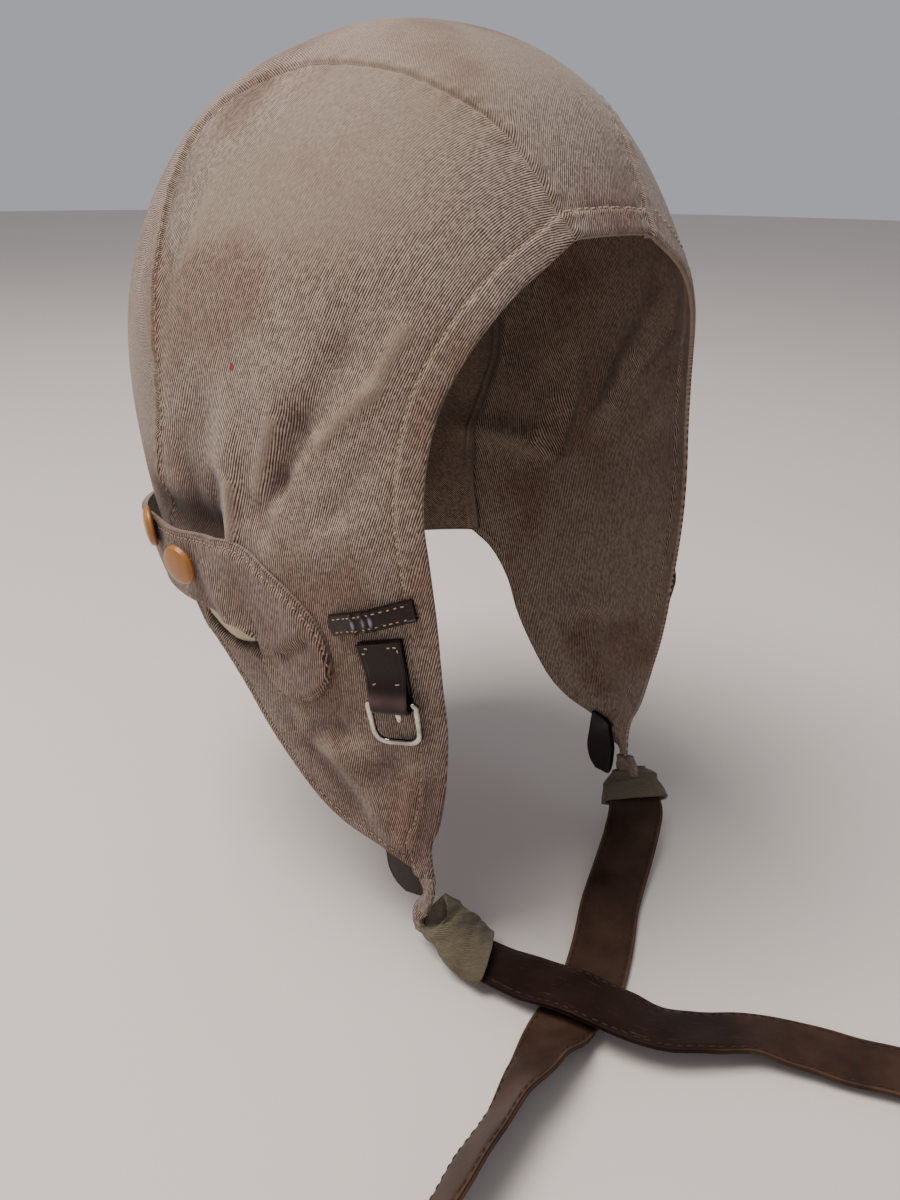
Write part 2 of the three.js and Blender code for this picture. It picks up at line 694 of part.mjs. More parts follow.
// Buckle tab: two layers of leather folded round the wire, as a side profile carried across
const tabLayers = 2.4;
const loopOuter = 2.8;
const loopTurn = Math.PI * 0.82;
const loopSteps = 10;
const foldBack = { swell: 5.5, flat: 9, rise: 0.6 };
const boreRadius = wireRadius + pieceGap + 0.08;
const tabLength = tabAxes.length;
const wireOut = tabLift + loopOuter;
const loopCells = 18;
function tabGeometry(flip) {
  const outline = [];
  outline.push([0, tabLift]);
  for (let k = 0; k <= loopSteps; k += 1) {
    const a = -Math.PI / 2 + (k / loopSteps) * loopTurn;
    outline.push([tabLength + loopOuter * Math.cos(a), wireOut + loopOuter * Math.sin(a)]);
  }
  outline.push([tabLength - foldBack.swell, tabLift + tabLayers + foldBack.rise]);
  outline.push([tabLength - foldBack.flat, tabLift + tabLayers]);
  outline.push([0, tabLift + tabLayers]);
  const shape = new THREE.Shape(outline.map(([d, o]) => new THREE.Vector2(d, o)));
  const bore = [];
  for (let k = 0; k < loopCells; k += 1) {
    const a = (-2 * Math.PI * k) / loopCells;
    bore.push(new THREE.Vector2(tabLength + boreRadius * Math.cos(a), wireOut + boreRadius * Math.sin(a)));
  }
  shape.holes.push(new THREE.Path(bore));
  const flat = new THREE.ExtrudeGeometry(shape, { depth: tabWidth, bevelEnabled: false });
  const positions = [];
  const source = flat.getAttribute("position");
  const faces = [];
  for (let k = 0; k < source.count; k += 1) {
    const share = Math.min(1, source.getX(k) / tabLength);
    const taper = tabTaper.top + (tabTaper.fold - tabTaper.top) * share;
    const across = (source.getZ(k) - tabWidth / 2) * taper;
    const down = source.getX(k) - tabShear * across * (1 - share);
    const p = flip(inTab(down, across, source.getY(k)));
    positions.push(p.x, p.y, p.z);
    faces.push(k);
  }
  return facingOut(positions, faces);
}
for (const side of sides) {
  addPiece(`buckle_tab_${side.name}`, tabGeometry(side.flip), materialOf.darkLeather);
}

// A closed wire bent round a loop of points, its ends soldered
function wireLoop(points, radius, cells, flip) {
  const positions = [];
  const count = points.length;
  const middle = points.reduce((sum, p) => sum.add(p), new THREE.Vector3()).divideScalar(count);
  const quarter = points[Math.floor(count / 4)].clone().sub(middle);
  const flat = points[0].clone().sub(middle).cross(quarter).normalize();
  for (let i = 0; i < count; i += 1) {
    const along = points[(i + 1) % count].clone().sub(points[(i + count - 1) % count]).normalize();
    const side = along.clone().cross(flat).normalize();
    const lift = side.clone().cross(along).normalize();
    for (let j = 0; j < cells; j += 1) {
      const a = (2 * Math.PI * j) / cells;
      const p = points[i].clone().addScaledVector(side, radius * Math.cos(a));
      const q = flip(p.addScaledVector(lift, radius * Math.sin(a)));
      positions.push(q.x, q.y, q.z);
    }
  }
  const faces = [];
  for (let i = 0; i < count; i += 1) {
    for (let j = 0; j < cells; j += 1) {
      const a = i * cells + j;
      const b = ((i + 1) % count) * cells + j;
      const c = ((i + 1) % count) * cells + ((j + 1) % cells);
      const d = i * cells + ((j + 1) % cells);
      faces.push(a, b, c, a, c, d);
    }
  }
  return facingOut(positions, faces);
}

// Buckle frame: nickelled wire, a rounded trapezoid whose bar runs in the fold of the tab
const frameCorners = [
  { down: 0, across: -7.3, round: 1.2 },
  { down: 0, across: 7.5, round: 1.4 },
  { down: 14.2, across: 5.2, round: 4.4 },
  { down: 14.2, across: -8.8, round: 4.4 },
];
const frameLean = 1.8;
const cornerSteps = 4;
const wireCells = 8;
function framePoints() {
  const points = [];
  const depth = frameCorners[2].down;
  frameCorners.forEach((corner, k) => {
    const here = new THREE.Vector2(corner.across, corner.down);
    const last = frameCorners[(k + 3) % 4];
    const next = frameCorners[(k + 1) % 4];
    const from = new THREE.Vector2(last.across, last.down).sub(here).setLength(corner.round).add(here);
    const to = new THREE.Vector2(next.across, next.down).sub(here).setLength(corner.round).add(here);
    const bend = new THREE.QuadraticBezierCurve(from, here, to);
    for (const q of bend.getPoints(cornerSteps)) {
      points.push(inTab(tabLength + q.y, q.x, wireOut - (frameLean * q.y) / depth));
    }
  });
  return points;
}
const frameLine = framePoints();
for (const side of sides) {
  const wire = wireLoop(frameLine, wireRadius, wireCells, side.flip);
  addPiece(`buckle_frame_${side.name}`, wire, materialOf.nickel);
}

// Prong stub: the short bright end of the buckle's prong below the fold
const prongRadius = 0.9;
const prongTip = 0.72;
const prongLength = 3.2;
const prongSides = 10;
const prongPlace = { across: 1.0, sink: 0.6 };
for (const side of sides) {
  const prong = new THREE.CylinderGeometry(prongTip, prongRadius, prongLength, prongSides);
  const mesh = addPiece(`buckle_prong_${side.name}`, prong, materialOf.nickel);
  const reach = tabLength + loopOuter + pieceGap + prongLength / 2;
  mesh.position.copy(side.flip(inTab(reach, prongPlace.across, wireOut - prongPlace.sink)));
  const down = side.flip(tabAxes.down.clone());
  mesh.quaternion.setFromUnitVectors(new THREE.Vector3(0, 1, 0), down);
}

// Leather end of the strap, sewn inside the tail and seen past its rear edge
const tipCorners = [
  [besideAt(-43.0, -226.0), besideAt(-53.0, -227.0)],
  [besideAt(-43.2, -233.5), besideAt(-56.0, -233.5)],
  [besideAt(-43.4, -239.5), besideAt(-56.2, -238.5)],
  [besideAt(-45.7, -244.2), besideAt(-55.0, -242.5)],
  [besideAt(-49.3, -246.6), besideAt(-54.0, -245.4)],
];
const tipGap = 0.5;
const tipLift = -(clothWall + leatherWall + tipGap);
for (const side of sides) {
  const places = tipCorners.map((line) => line.map(side.flip));
  const wall = wallOnForm(places, () => tipLift, leatherWall, "");
  addPiece(`strap_tip_${side.name}`, wall, materialOf.darkLeather);
}

// Turned cloth sleeve: a flattened tube from the tail down to the strap, open at both ends
const sleeveSteps = 10;
const sleeveSides = 12;
function sleeveRing(row, shrink) {
  const ring = [];
  for (let j = 0; j < sleeveSides; j += 1) {
    const a = (2 * Math.PI * j) / sleeveSides;
    const c = Math.cos(a);
    const s = Math.sin(a);
    const flat = Math.sign(s) * Math.sqrt(Math.abs(s));
    const p = row.at.clone().addScaledVector(row.wide, (row.half - shrink) * c);
    ring.push(p.addScaledVector(row.deepWay, (row.deep - shrink) * flat));
  }
  return ring;
}
// Stations along a curve through rows, with any other column mixed at the same places
function stationsOf(rows, steps, columns) {
  const points = rows.map((row) => new THREE.Vector3(row.x, row.y, row.z));
  const curve = new THREE.CatmullRomCurve3(points, false, "centripetal");
  const stations = [];
  for (let i = 0; i <= steps; i += 1) {
    const t = curve.getUtoTmapping(i / steps);
    const place = t * (rows.length - 1);
    const k = Math.min(rows.length - 2, Math.floor(place));
    const station = { at: curve.getPoint(t), along: curve.getTangent(t) };
    for (const name of columns) {
      station[name] = rows[k][name] + (rows[k + 1][name] - rows[k][name]) * smooth(0, 1, place - k);
    }
    stations.push(station);
  }
  return stations;
}
function sleeveStations(rows) {
  return stationsOf(rows, sleeveSteps, ["wx", "wy", "wz", "half", "deep"]).map((station) => {
    const wide = new THREE.Vector3(station.wx, station.wy, station.wz);
    wide.addScaledVector(station.along, -wide.dot(station.along)).normalize();
    return { ...station, wide, deepWay: station.along.clone().cross(wide).normalize() };
  });
}
function sleeveGeometry(rows) {
  const stations = sleeveStations(rows);
  const rings = stations.map((row) => sleeveRing(row, 0));
  stations.reverse().forEach((row) => rings.push(sleeveRing(row, sleeveWall)));
  const positions = [];
  for (const ring of rings) for (const p of ring) positions.push(p.x, p.y, p.z);
  const faces = [];
  for (let i = 0; i < rings.length; i += 1) {
    for (let j = 0; j < sleeveSides; j += 1) {
      const a = i * sleeveSides + j;
      const b = ((i + 1) % rings.length) * sleeveSides + j;
      const c = ((i + 1) % rings.length) * sleeveSides + ((j + 1) % sleeveSides);
      const d = i * sleeveSides + ((j + 1) % sleeveSides);
      faces.push(a, b, c, a, c, d);
    }
  }
  return facingOut(positions, faces);
}
addPiece("strap_sleeve_right", sleeveGeometry(nearSleeveRows), materialOf.twill);
addPiece("strap_sleeve_left", sleeveGeometry(farSleeveRows), materialOf.twill);

// Chin strap: a flat leather ribbon along its middle line, rolled about it
const strapSteps = 40;
function strapGeometry(rows) {
  const faces = { top: [], under: [] };
  for (const { at, along, roll } of stationsOf(rows, strapSteps, ["roll"])) {
    const level = along.clone().cross(new THREE.Vector3(0, 0, 1)).normalize();
    const lift = level.clone().cross(along).normalize();
    const angle = THREE.MathUtils.degToRad(roll);
    const wide = level.clone().multiplyScalar(Math.cos(angle)).addScaledVector(lift, Math.sin(angle));
    const thick = wide.clone().cross(along).normalize().multiplyScalar(strapThickness / 2);
    const line = [-0.5, 0, 0.5].map((t) => at.clone().addScaledVector(wide, strapWidth * t));
    faces.top.push(line.map((p) => p.clone().add(thick)));
    faces.under.push(line.map((p) => p.clone().sub(thick)));
  }
  return wallBetween(faces.top, faces.under);
}
addPiece("chin_strap_right", strapGeometry(nearStrapRows), materialOf.strapLeather);
addPiece("chin_strap_left", strapGeometry(farStrapRows), materialOf.strapLeather);

export default group;
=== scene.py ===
# Aviator's cloth cap: a twill skull cap with ear flaps, a studded nape band, leather keepers,
# buckle tabs and two chin straps, in the form it has when worn. Its brow faces -Y.
import math
import bpy
import numpy as np
from mathutils import Matrix


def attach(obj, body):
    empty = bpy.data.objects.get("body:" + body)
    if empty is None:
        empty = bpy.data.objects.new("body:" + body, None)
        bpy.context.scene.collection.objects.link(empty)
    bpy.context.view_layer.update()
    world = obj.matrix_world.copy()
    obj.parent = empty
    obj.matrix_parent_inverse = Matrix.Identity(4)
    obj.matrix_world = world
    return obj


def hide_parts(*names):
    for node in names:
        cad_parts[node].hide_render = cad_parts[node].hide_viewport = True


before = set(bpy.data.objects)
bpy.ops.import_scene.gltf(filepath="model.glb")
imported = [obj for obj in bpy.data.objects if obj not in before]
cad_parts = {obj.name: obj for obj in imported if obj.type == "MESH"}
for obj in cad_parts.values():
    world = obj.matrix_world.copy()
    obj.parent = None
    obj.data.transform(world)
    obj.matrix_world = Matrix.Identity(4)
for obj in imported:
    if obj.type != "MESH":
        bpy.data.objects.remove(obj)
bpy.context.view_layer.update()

# Viewpoint: from the cap's front right and a little above the crown's widest level. The lens
# sees 62 degrees from top to bottom of an upright frame.
view_azimuth, view_pitch, view_roll = (math.radians(a) for a in (-45.3, 24.4, 0.6))
view_from = np.array([-0.2197, -0.2352, -0.0306])
back = np.array([math.sin(view_azimuth) * math.cos(view_pitch),
                 -math.cos(view_azimuth) * math.cos(view_pitch), math.sin(view_pitch)])
level = np.cross(-back, [0, 0, 1])
level /= np.linalg.norm(level)
upright = np.cross(level, -back)
right = math.cos(view_roll) * level + math.sin(view_roll) * upright
upward = math.cos(view_roll) * upright - math.sin(view_roll) * level
lens = bpy.data.cameras.new("viewpoint")
lens.sensor_fit = "VERTICAL"
lens.sensor_height = 36.0
lens.lens = 30.0
lens.clip_start = 0.01
viewpoint = bpy.data.objects.new("viewpoint", lens)
turned = Matrix([[*row] for row in np.column_stack([right, upward, back])]).to_4x4()
viewpoint.matrix_world = Matrix.Translation(view_from) @ turned
bpy.context.scene.collection.objects.link(viewpoint)
bpy.context.scene.camera = viewpoint


class Wire:
    """One socket of a material. Operators on it add Math nodes, and node() adds any other node
    from its type, its settings, the values or links of its sockets, and the output to use."""

    def __init__(self, tree, socket=None):
        self.tree = tree
        self.socket = socket

    def node(self, kind, settings=None, inputs=None, out=0):
        made = self.tree.nodes.new(kind)
        for key, value in (settings or {}).items():
            setattr(made, key, value)
        for key, value in (inputs or {}).items():
            if isinstance(value, Wire):
                self.tree.links.new(value.socket, made.inputs[key])
            else:
                made.inputs[key].default_value = value
        return Wire(self.tree, made.outputs[out])

    def maths(self, operation, *values):
        """One Math node of one or two values or sockets."""
        return self.node("ShaderNodeMath", {"operation": operation}, dict(enumerate(values)))

    def __add__(self, other): return self.maths("ADD", self, other)
    def __radd__(self, other): return self.maths("ADD", other, self)
    def __sub__(self, other): return self.maths("SUBTRACT", self, other)
    def __rsub__(self, other): return self.maths("SUBTRACT", other, self)
    def __mul__(self, other): return self.maths("MULTIPLY", self, other)
    def __truediv__(self, other): return self.maths("DIVIDE", self, other)

    def sine(self): return self.maths("SINE", self)
    def floor(self): return self.maths("FLOOR", self)
    def higher(self, other): return self.maths("MAXIMUM", self, other)

    def rise(self, low, high):
        """0 below low, 1 above high, and a smooth step between them."""
        return self.node("ShaderNodeMapRange", {"interpolation_type": "SMOOTHSTEP"},
                         {"Value": self, "From Min": low, "From Max": high})

    def mix(self, low, high, blend="MIX"):
        """Colour low where this mask is 0, and high where it is 1."""
        return self.node("ShaderNodeMix", {"data_type": "RGBA", "blend_type": blend},
                         {0: self, 6: low, 7: high}, 2)

    def noise(self, where, scale, detail=2.0, rough=0.5):
        """Smooth noise from 0 to 1, read at a place."""
        return self.node("ShaderNodeTexNoise", {}, {"Vector": where, "Scale": scale,
                         "Detail": detail, "Roughness": rough})

    def joined(self, x, y):
        """A place with these two coordinates, and 0 for its third."""
        return self.node("ShaderNodeCombineXYZ", {}, {0: x, 1: y})

    def apart(self, vector):
        """The three coordinates of a place."""
        return [self.node("ShaderNodeSeparateXYZ", {}, {0: vector}, k) for k in range(3)]

    def lift(self, height, depth, strength):
        """The shading normal bumped by a height from 0 to 1, which stands for a depth in metres."""
        return self.node("ShaderNodeBump", {}, {"Strength": strength, "Distance": depth,
                         "Height": height})


def rgb(red, green, blue):
    """Linear colour from the 0 to 255 values a colour chart gives."""
    chart = np.array([red, green, blue]) / 255
    return (*np.where(chart > 0.04045, ((chart + 0.055) / 1.055) ** 2.4, chart / 12.92), 1.0)


def new_finish(name, plain, varied):
    """A Principled material: plain values sit on its sockets, varied ones are made by a function
    that gets a Wire and returns the links of the sockets that change over the surface."""
    finish = bpy.data.materials.new(name)
    finish.use_nodes = True
    tree = finish.node_tree
    shader = tree.nodes["Principled BSDF"]
    for key, value in plain.items():
        shader.inputs[key].default_value = value
    for key, value in varied(Wire(tree)).items():
        tree.links.new(value.socket, shader.inputs[key])
    return finish


# Floor and light: a plain pale floor just under the straps, a broad soft light high behind the
# cap, a weaker one on its right, and a pale surrounding light.
floor_height, floor_radius = -0.2652, 4.0


def floor_colour(wire):
    """Two pale tones, mixed by a broad noise."""
    place = wire.node("ShaderNodeTexCoord", out=3)
    return {"Base Color": wire.noise(place, 3.0).mix(rgb(205, 194, 184), rgb(213, 203, 194))}


floor_mesh = bpy.data.meshes.new("floor")
turn = np.linspace(0, 2 * np.pi, 96, endpoint=False)
ring = np.column_stack([np.cos(turn), np.sin(turn), np.zeros(96)])
floor_mesh.from_pydata((ring * floor_radius + [0, 0, floor_height]).tolist(), [],
                       [list(range(len(ring)))])
floor_mesh.materials.append(new_finish("pale_floor", {"Roughness": 0.7}, floor_colour))
floor = bpy.data.objects.new("floor", floor_mesh)
bpy.context.scene.collection.objects.link(floor)

surround = bpy.data.worlds.new("pale_surround")
surround.use_nodes = True
surround.node_tree.nodes["Background"].inputs["Color"].default_value = rgb(222, 222, 232)
surround.node_tree.nodes["Background"].inputs["Strength"].default_value = 0.56
bpy.context.scene.world = surround


def soft_light(name, place, target, size, watts, colour):
    """A square area light at a place, turned so that its face looks at the target."""
    lamp = bpy.data.lights.new(name, "AREA")
    lamp.size = size
    lamp.energy = watts
    lamp.color = colour
    made = bpy.data.objects.new(name, lamp)
    away = np.array(place) - np.array(target)
    away = away / np.linalg.norm(away)
    across = np.cross([0, 0, 1], away)
    across /= np.linalg.norm(across)
    turned = Matrix([[*row] for row in np.column_stack([across, np.cross(away, across), away])])
    made.matrix_world = Matrix.Translation(place) @ turned.to_4x4()
    bpy.context.scene.collection.objects.link(made)


soft_light("high_light", (-0.50, 0.24, 1.10), (0, 0, -0.1), 0.8, 30.0, (1.0, 0.97, 0.94))
soft_light("side_light", (-1.2, -0.7, 0.35), (0, 0, -0.1), 1.0, 1.6, (0.94, 0.97, 1.0))


# Centre panel: one piece of khaki cotton twill from the brow hem over the crown, widening to the
# whole back of the cap and ending at the nape. It is seamed to both side panels, and its seam
# allowance lies under them. The cloth is 1.4 mm thick, and keeps the rounded form it was cut for.
millimetre = 0.001
cloth_wall = 1.4
crown_rise = 107.2
middle_y, middle_z, form_tilt = -0.9, -106.0, 0.165
round_across, round_up = 2.45, 2.27
skirt = np.array([  # drop below the widest level, half width, reach forward, reach back
    [0, 75.5, 88.9, 100.4], [25, 74.8, 88.5, 98.5], [50, 71.5, 87.0, 92.0],
    [80, 65.5, 83.0, 84.0], [110, 59.5, 78.0, 78.0], [140, 54.5, 74.0, 73.0],
    [180, 50.0, 70.0, 70.0]])
seam_rows = np.array([  # the right seam beside the centre panel, brow to nape
    [-16.4, -76.0, -50.5], [-19.1, -72.4, -44.7], [-22.2, -64.5, -33.4], [-25.2, -56.5, -25.3],
    [-30.5, -47.0, -19.2], [-35.5, -34.5, -14.2], [-40.0, -19.0, -11.9], [-41.5, 0.0, -10.6],
    [-41.5, 18.0, -13.0], [-45.0, 33.0, -20.5], [-51.0, 41.0, -30.0], [-58.0, 41.0, -41.5],
    [-65.0, 36.5, -54.0], [-70.5, 34.0, -71.3], [-73.8, 31.0, -92.0], [-74.0, 32.5, -106.0],
    [-71.9, 39.0, -127.0], [-68.8, 41.0, -150.0], [-65.5, 34.0, -175.0]])


def unit(vectors):
    """Vectors divided by their length."""
    return vectors / np.maximum(np.linalg.norm(vectors, axis=-1, keepdims=True), 1e-9)


def step(low, high, value):
    """0 below low, 1 above high, and three t squared less two t cubed between them."""
    t = np.clip((np.asarray(value) - low) / (high - low), 0, 1)
    return t * t * (3 - 2 * t)


def skirt_at(drop):
    """Half width, forward and back reach at a drop: cubic Hermite between the rows, with each
    slope taken over the two neighbours."""
    d, v = skirt[:, 0], skirt[:, 1:]
    slope = np.zeros_like(v)
    slope[1:-1] = (v[2:] - v[:-2]) / (d[2:] - d[:-2])[:, None]
    slope[-1] = (v[-1] - v[-2]) / (d[-1] - d[-2])
    drop = np.clip(drop, 0, d[-1])
    i = np.clip(np.searchsorted(d, drop) - 1, 0, len(d) - 2)
    span = (d[i + 1] - d[i])[..., None]
    t = (drop - d[i])[..., None] / span
    return ((2 * t - 3) * t * t + 1) * v[i] + ((t - 2) * t + 1) * t * span * slope[i] \
        + (3 - 2 * t) * t * t * v[i + 1] + (t - 1) * t * t * span * slope[i + 1]


def to_form(p):
    """Points in the form's frame: moved to its middle, then turned back by its tilt about X."""
    s, c = math.sin(form_tilt), math.cos(form_tilt)
    y, z = p[..., 1] - middle_y, p[..., 2] - middle_z
    return np.stack([p[..., 0], c * y - s * z, s * y + c * z], -1)


def to_world(q):
    """Points of the form's frame, turned by its tilt about X and moved to their place."""
    s, c = math.sin(form_tilt), math.cos(form_tilt)
    return np.stack([q[..., 0], c * q[..., 1] + s * q[..., 2] + middle_y,
                     c * q[..., 2] - s * q[..., 1] + middle_z], -1)


def form_size(p):
    """1 on the cloth's outer face: a superellipse across, closed above the widest level by a
    second power, and carried straight down below it as the skirt's rows say."""
    q = to_form(p)
    wide, forward, backward = np.moveaxis(skirt_at(np.maximum(0, -q[..., 2])), -1, 0)
    long = np.where(q[..., 1] < 0, forward, backward)
    across = ((np.abs(q[..., 0]) / wide) ** round_across
              + (np.abs(q[..., 1]) / long) ** round_across) ** (1 / round_across)
    up = np.maximum(q[..., 2], 0) / crown_rise
    return (across ** round_up + up ** round_up) ** (1 / round_up)


def heart_of(p):
    """Where a point's ray starts: on the form's middle line, level with the point where it is
    below the widest level, and at that level where it is above."""
    q = to_form(p)
    q[..., :2] = 0
    q[..., 2] = np.minimum(0, q[..., 2])
    return to_world(q)


def settle(p):
    """The point where the ray from the form's middle line through p meets the form. The form
    grows evenly along such a ray, so one division by its size is exact."""
    heart = heart_of(p)
    return heart + (p - heart) / form_size(p)[..., None]


def outward(p):
    """Unit slope of the form's size, by differences half a millimetre each way."""
    steps = np.eye(3) * 0.5
    return unit(np.stack([form_size(p + s) - form_size(p - s) for s in steps], -1))


def curve_by_row(rows, at):
    """Centripetal Catmull-Rom curve through rows of any width, read at fractional row numbers.
    The first three columns are x, y, z, and the ends are carried on straight."""
    rows = np.asarray(rows, float)
    ends = np.vstack([2 * rows[0] - rows[1], rows, 2 * rows[-1] - rows[-2]])
    gap = np.linalg.norm(np.diff(ends[:, :3], axis=0), axis=1)[:, None] ** 0.5
    p0, p1, p2, p3 = ends[:-3], ends[1:-2], ends[2:-1], ends[3:]
    d0, d1, d2 = gap[:-2], gap[1:-1], gap[2:]
    t1 = ((p1 - p0) / d0 - (p2 - p0) / (d0 + d1) + (p2 - p1) / d1) * d1
    t2 = ((p2 - p1) / d1 - (p3 - p1) / (d1 + d2) + (p3 - p2) / d2) * d1
    i = np.minimum(np.asarray(at).astype(int), len(rows) - 2)
    t = (np.asarray(at) - i)[:, None]
    bend, twist = 3 * (p2 - p1) - 2 * t1 - t2, 2 * (p1 - p2) + t1 + t2
    return p1[i] + t1[i] * t + bend[i] * t ** 2 + twist[i] * t ** 3


def run_of(line):
    """Distance covered along a line of points, from its first point."""
    return np.concatenate([[0], np.cumsum(np.linalg.norm(np.diff(line[:, :3], axis=0), axis=1))])


def curve_at(rows, places):
    """The same curve read at places from 0 to 1 of its length."""
    dense = curve_by_row(rows, np.linspace(0, len(rows) - 1, 64 * (len(rows) - 1) + 1))
    run = run_of(dense)
    at = np.asarray(places) * run[-1]
    return np.stack([np.interp(at, run, column) for column in dense.T], -1)


# Folds of the cloth seen from the side: two ends (y, z), half width, height. Crests are above 0.
fold_rows = np.array([
    [-8, -104, -1, -134, 8, 1.0], [6, -100, 12, -130, 10, -1.6], [-40, -96, -10, -128, 8, -1.3],
    [-30, -86, 0, -112, 9, 1.0], [-50, -120, -22, -132, 7, 0.9], [-34, -196, -50, -222, 6, 1.8],
    [-16, -196, -34, -216, 6, -1.5], [-62, -196, -56, -226, 5, -1.2]])
fine_rows = np.array([  # the small folds and creases, in the same order
    [-59, -70, -54, -84, 2.5, 0.8], [-54, -84, -41, -97.5, 2.5, 0.8],
    [-41, -97.5, -24.5, -120, 2.8, 0.65], [-24.5, -120, -10.5, -129, 3.0, 0.5],
    [-26.3, -95.5, -18, -115, 2.4, 0.9], [-7.7, -116, -3.4, -135, 2.3, 1.5],
    [-49, -64, -45, -77, 5.0, -0.6], [-45.4, -77.3, -34.3, -94.3, 4.6, -1.1],
    [-34.3, -94.3, -27.5, -111, 4.2, -1.3], [-27.5, -111, -19.4, -124, 3.6, -1.1],
    [-55, -99.3, -45.6, -116, 4.0, -0.7], [-45.6, -116, -30, -128, 4.0, -0.6],
    [2, -118, 6, -134, 4.6, -2.0], [20, -110, 14, -134, 6.0, -1.2],
    [-16, -98, -13, -116, 4.0, -0.5], [8, -134, 46, -134.5, 6.0, -3.0],
    [-36, -186, -22, -192, 4.0, -1.2], [-44, -190, -24, -200, 4.5, 0.9],
    [-52, -192, -40, -208, 4.5, -1.3], [-60, -192, -53, -222, 3.0, 1.0],
    [-20, -186, -16, -196, 3.5, 0.8], [28, -60, 30, -100, 5.0, -0.5],
    [18, -44, 24, -70, 6.0, -0.7], [8, -40, 14, -60, 6.0, 0.5],
    [-62, -150, -60, -186, 3.0, 0.5]])
dent_rows = np.array([  # centre x, y, z, reach, depth
    [22, -68, -42, 20, -1.8], [-57, 46, -42, 24, -1.6], [-42, 14, -14, 22, -1.0]])
all_folds = np.vstack([fold_rows, fine_rows])


def fold_height(p, rows):
    """Sum of the rows' folds, each a bell across the segment (y, z) that it runs along."""
    y, z = p[..., 1], p[..., 2]
    height = np.zeros(y.shape)
    for y0, z0, y1, z1, reach, tall in rows:
        dy, dz = y1 - y0, z1 - z0
        t = np.clip(((y - y0) * dy + (z - z0) * dz) / (dy * dy + dz * dz), 0, 1)
        away = np.hypot(y - y0 - t * dy, z - z0 - t * dz) / reach
        height += tall * np.exp(-away ** 2)
    return height


def drape(p, rows=all_folds):
    """Height of the cloth above the form: the folds, which start 30 mm from the middle and are
    full at 48 mm, and the flat spots, each a bell round its centre."""
    height = fold_height(p, rows) * step(30, 48, np.abs(p[..., 0]))
    for *centre, reach, depth in dent_rows:
        away = np.linalg.norm(p - centre, axis=-1) / reach
        height += depth * np.exp(-away ** 2)
    return height


def dressed(p, lift, rows=all_folds):
    """Points on the form, raised along its outward slope by the cloth's height and a lift."""
    on = settle(p)
    return on + outward(on) * (drape(on, rows) + lift)[..., None]


def lay_flat(grid, axis, row, column, bias):
    """Cloth coordinates in millimetres: each step of the grid is read along the cloth's two
    directions, the one nearest the axis and the one square to it, and summed outwards from one
    row and column. They are then turned by the bias, so that V runs along the twill's ridges."""
    normal = outward(grid)
    along = unit(axis - normal * (normal @ axis)[..., None])
    across = np.cross(normal, along)

    def summed(points, a, b, start):
        d = np.diff(points, axis=0)
        flat = np.stack([(d * (way[1:] + way[:-1]) / 2).sum(-1) for way in (b, a)], -1)
        run = np.concatenate([np.zeros((1, *flat.shape[1:])), np.cumsum(flat, 0)])
        return run - run[start]

    spine = summed(grid[:, column], along[:, column], across[:, column], row)
    turn_rows = [array.transpose(1, 0, 2) for array in (grid, along, across)]
    flat = spine[:, None] + summed(*turn_rows, column).transpose(1, 0, 2)
    c, s = math.cos(bias), math.sin(bias)
    return np.stack([c * flat[..., 0] - s * flat[..., 1], s * flat[..., 0] + c * flat[..., 1]], -1)


def add_mesh(name, points, faces, uv, finish, slot, nodes=(), marks=None):
    """A smooth mesh object from points in millimetres, faces as index rows, a UV per point, and
    marks, each one number or one per point. Faces are turned outwards by the sign of the volume
    they close."""
    faces = np.asarray(faces)
    a, b, c = points[faces[:, 0]], points[faces[:, 1]], points[faces[:, 2]]
    volume = (a * np.cross(b, c)).sum()
    if faces.shape[1] == 4:
        volume += (a * np.cross(c, points[faces[:, 3]])).sum()
    if volume < 0:
        faces = faces[:, ::-1]
    mesh = bpy.data.meshes.new(name)
    mesh.from_pydata((points * millimetre).tolist(), [], faces.tolist())
    layer = mesh.uv_layers.new(name="cloth")
    layer.data.foreach_set("uv", uv[faces.ravel()].astype(np.float32).ravel())
    for key, value in (marks or {}).items():
        mark = mesh.attributes.new(key, "FLOAT", "POINT")
        mark.data.foreach_set("value", np.full(len(points), value, np.float32))
    mesh.shade_smooth()
    mesh.materials.append(finish)
    made = bpy.data.objects.new(name, mesh)
    bpy.context.scene.collection.objects.link(made)
    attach(made, "root")
    if nodes:
        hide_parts(*nodes)


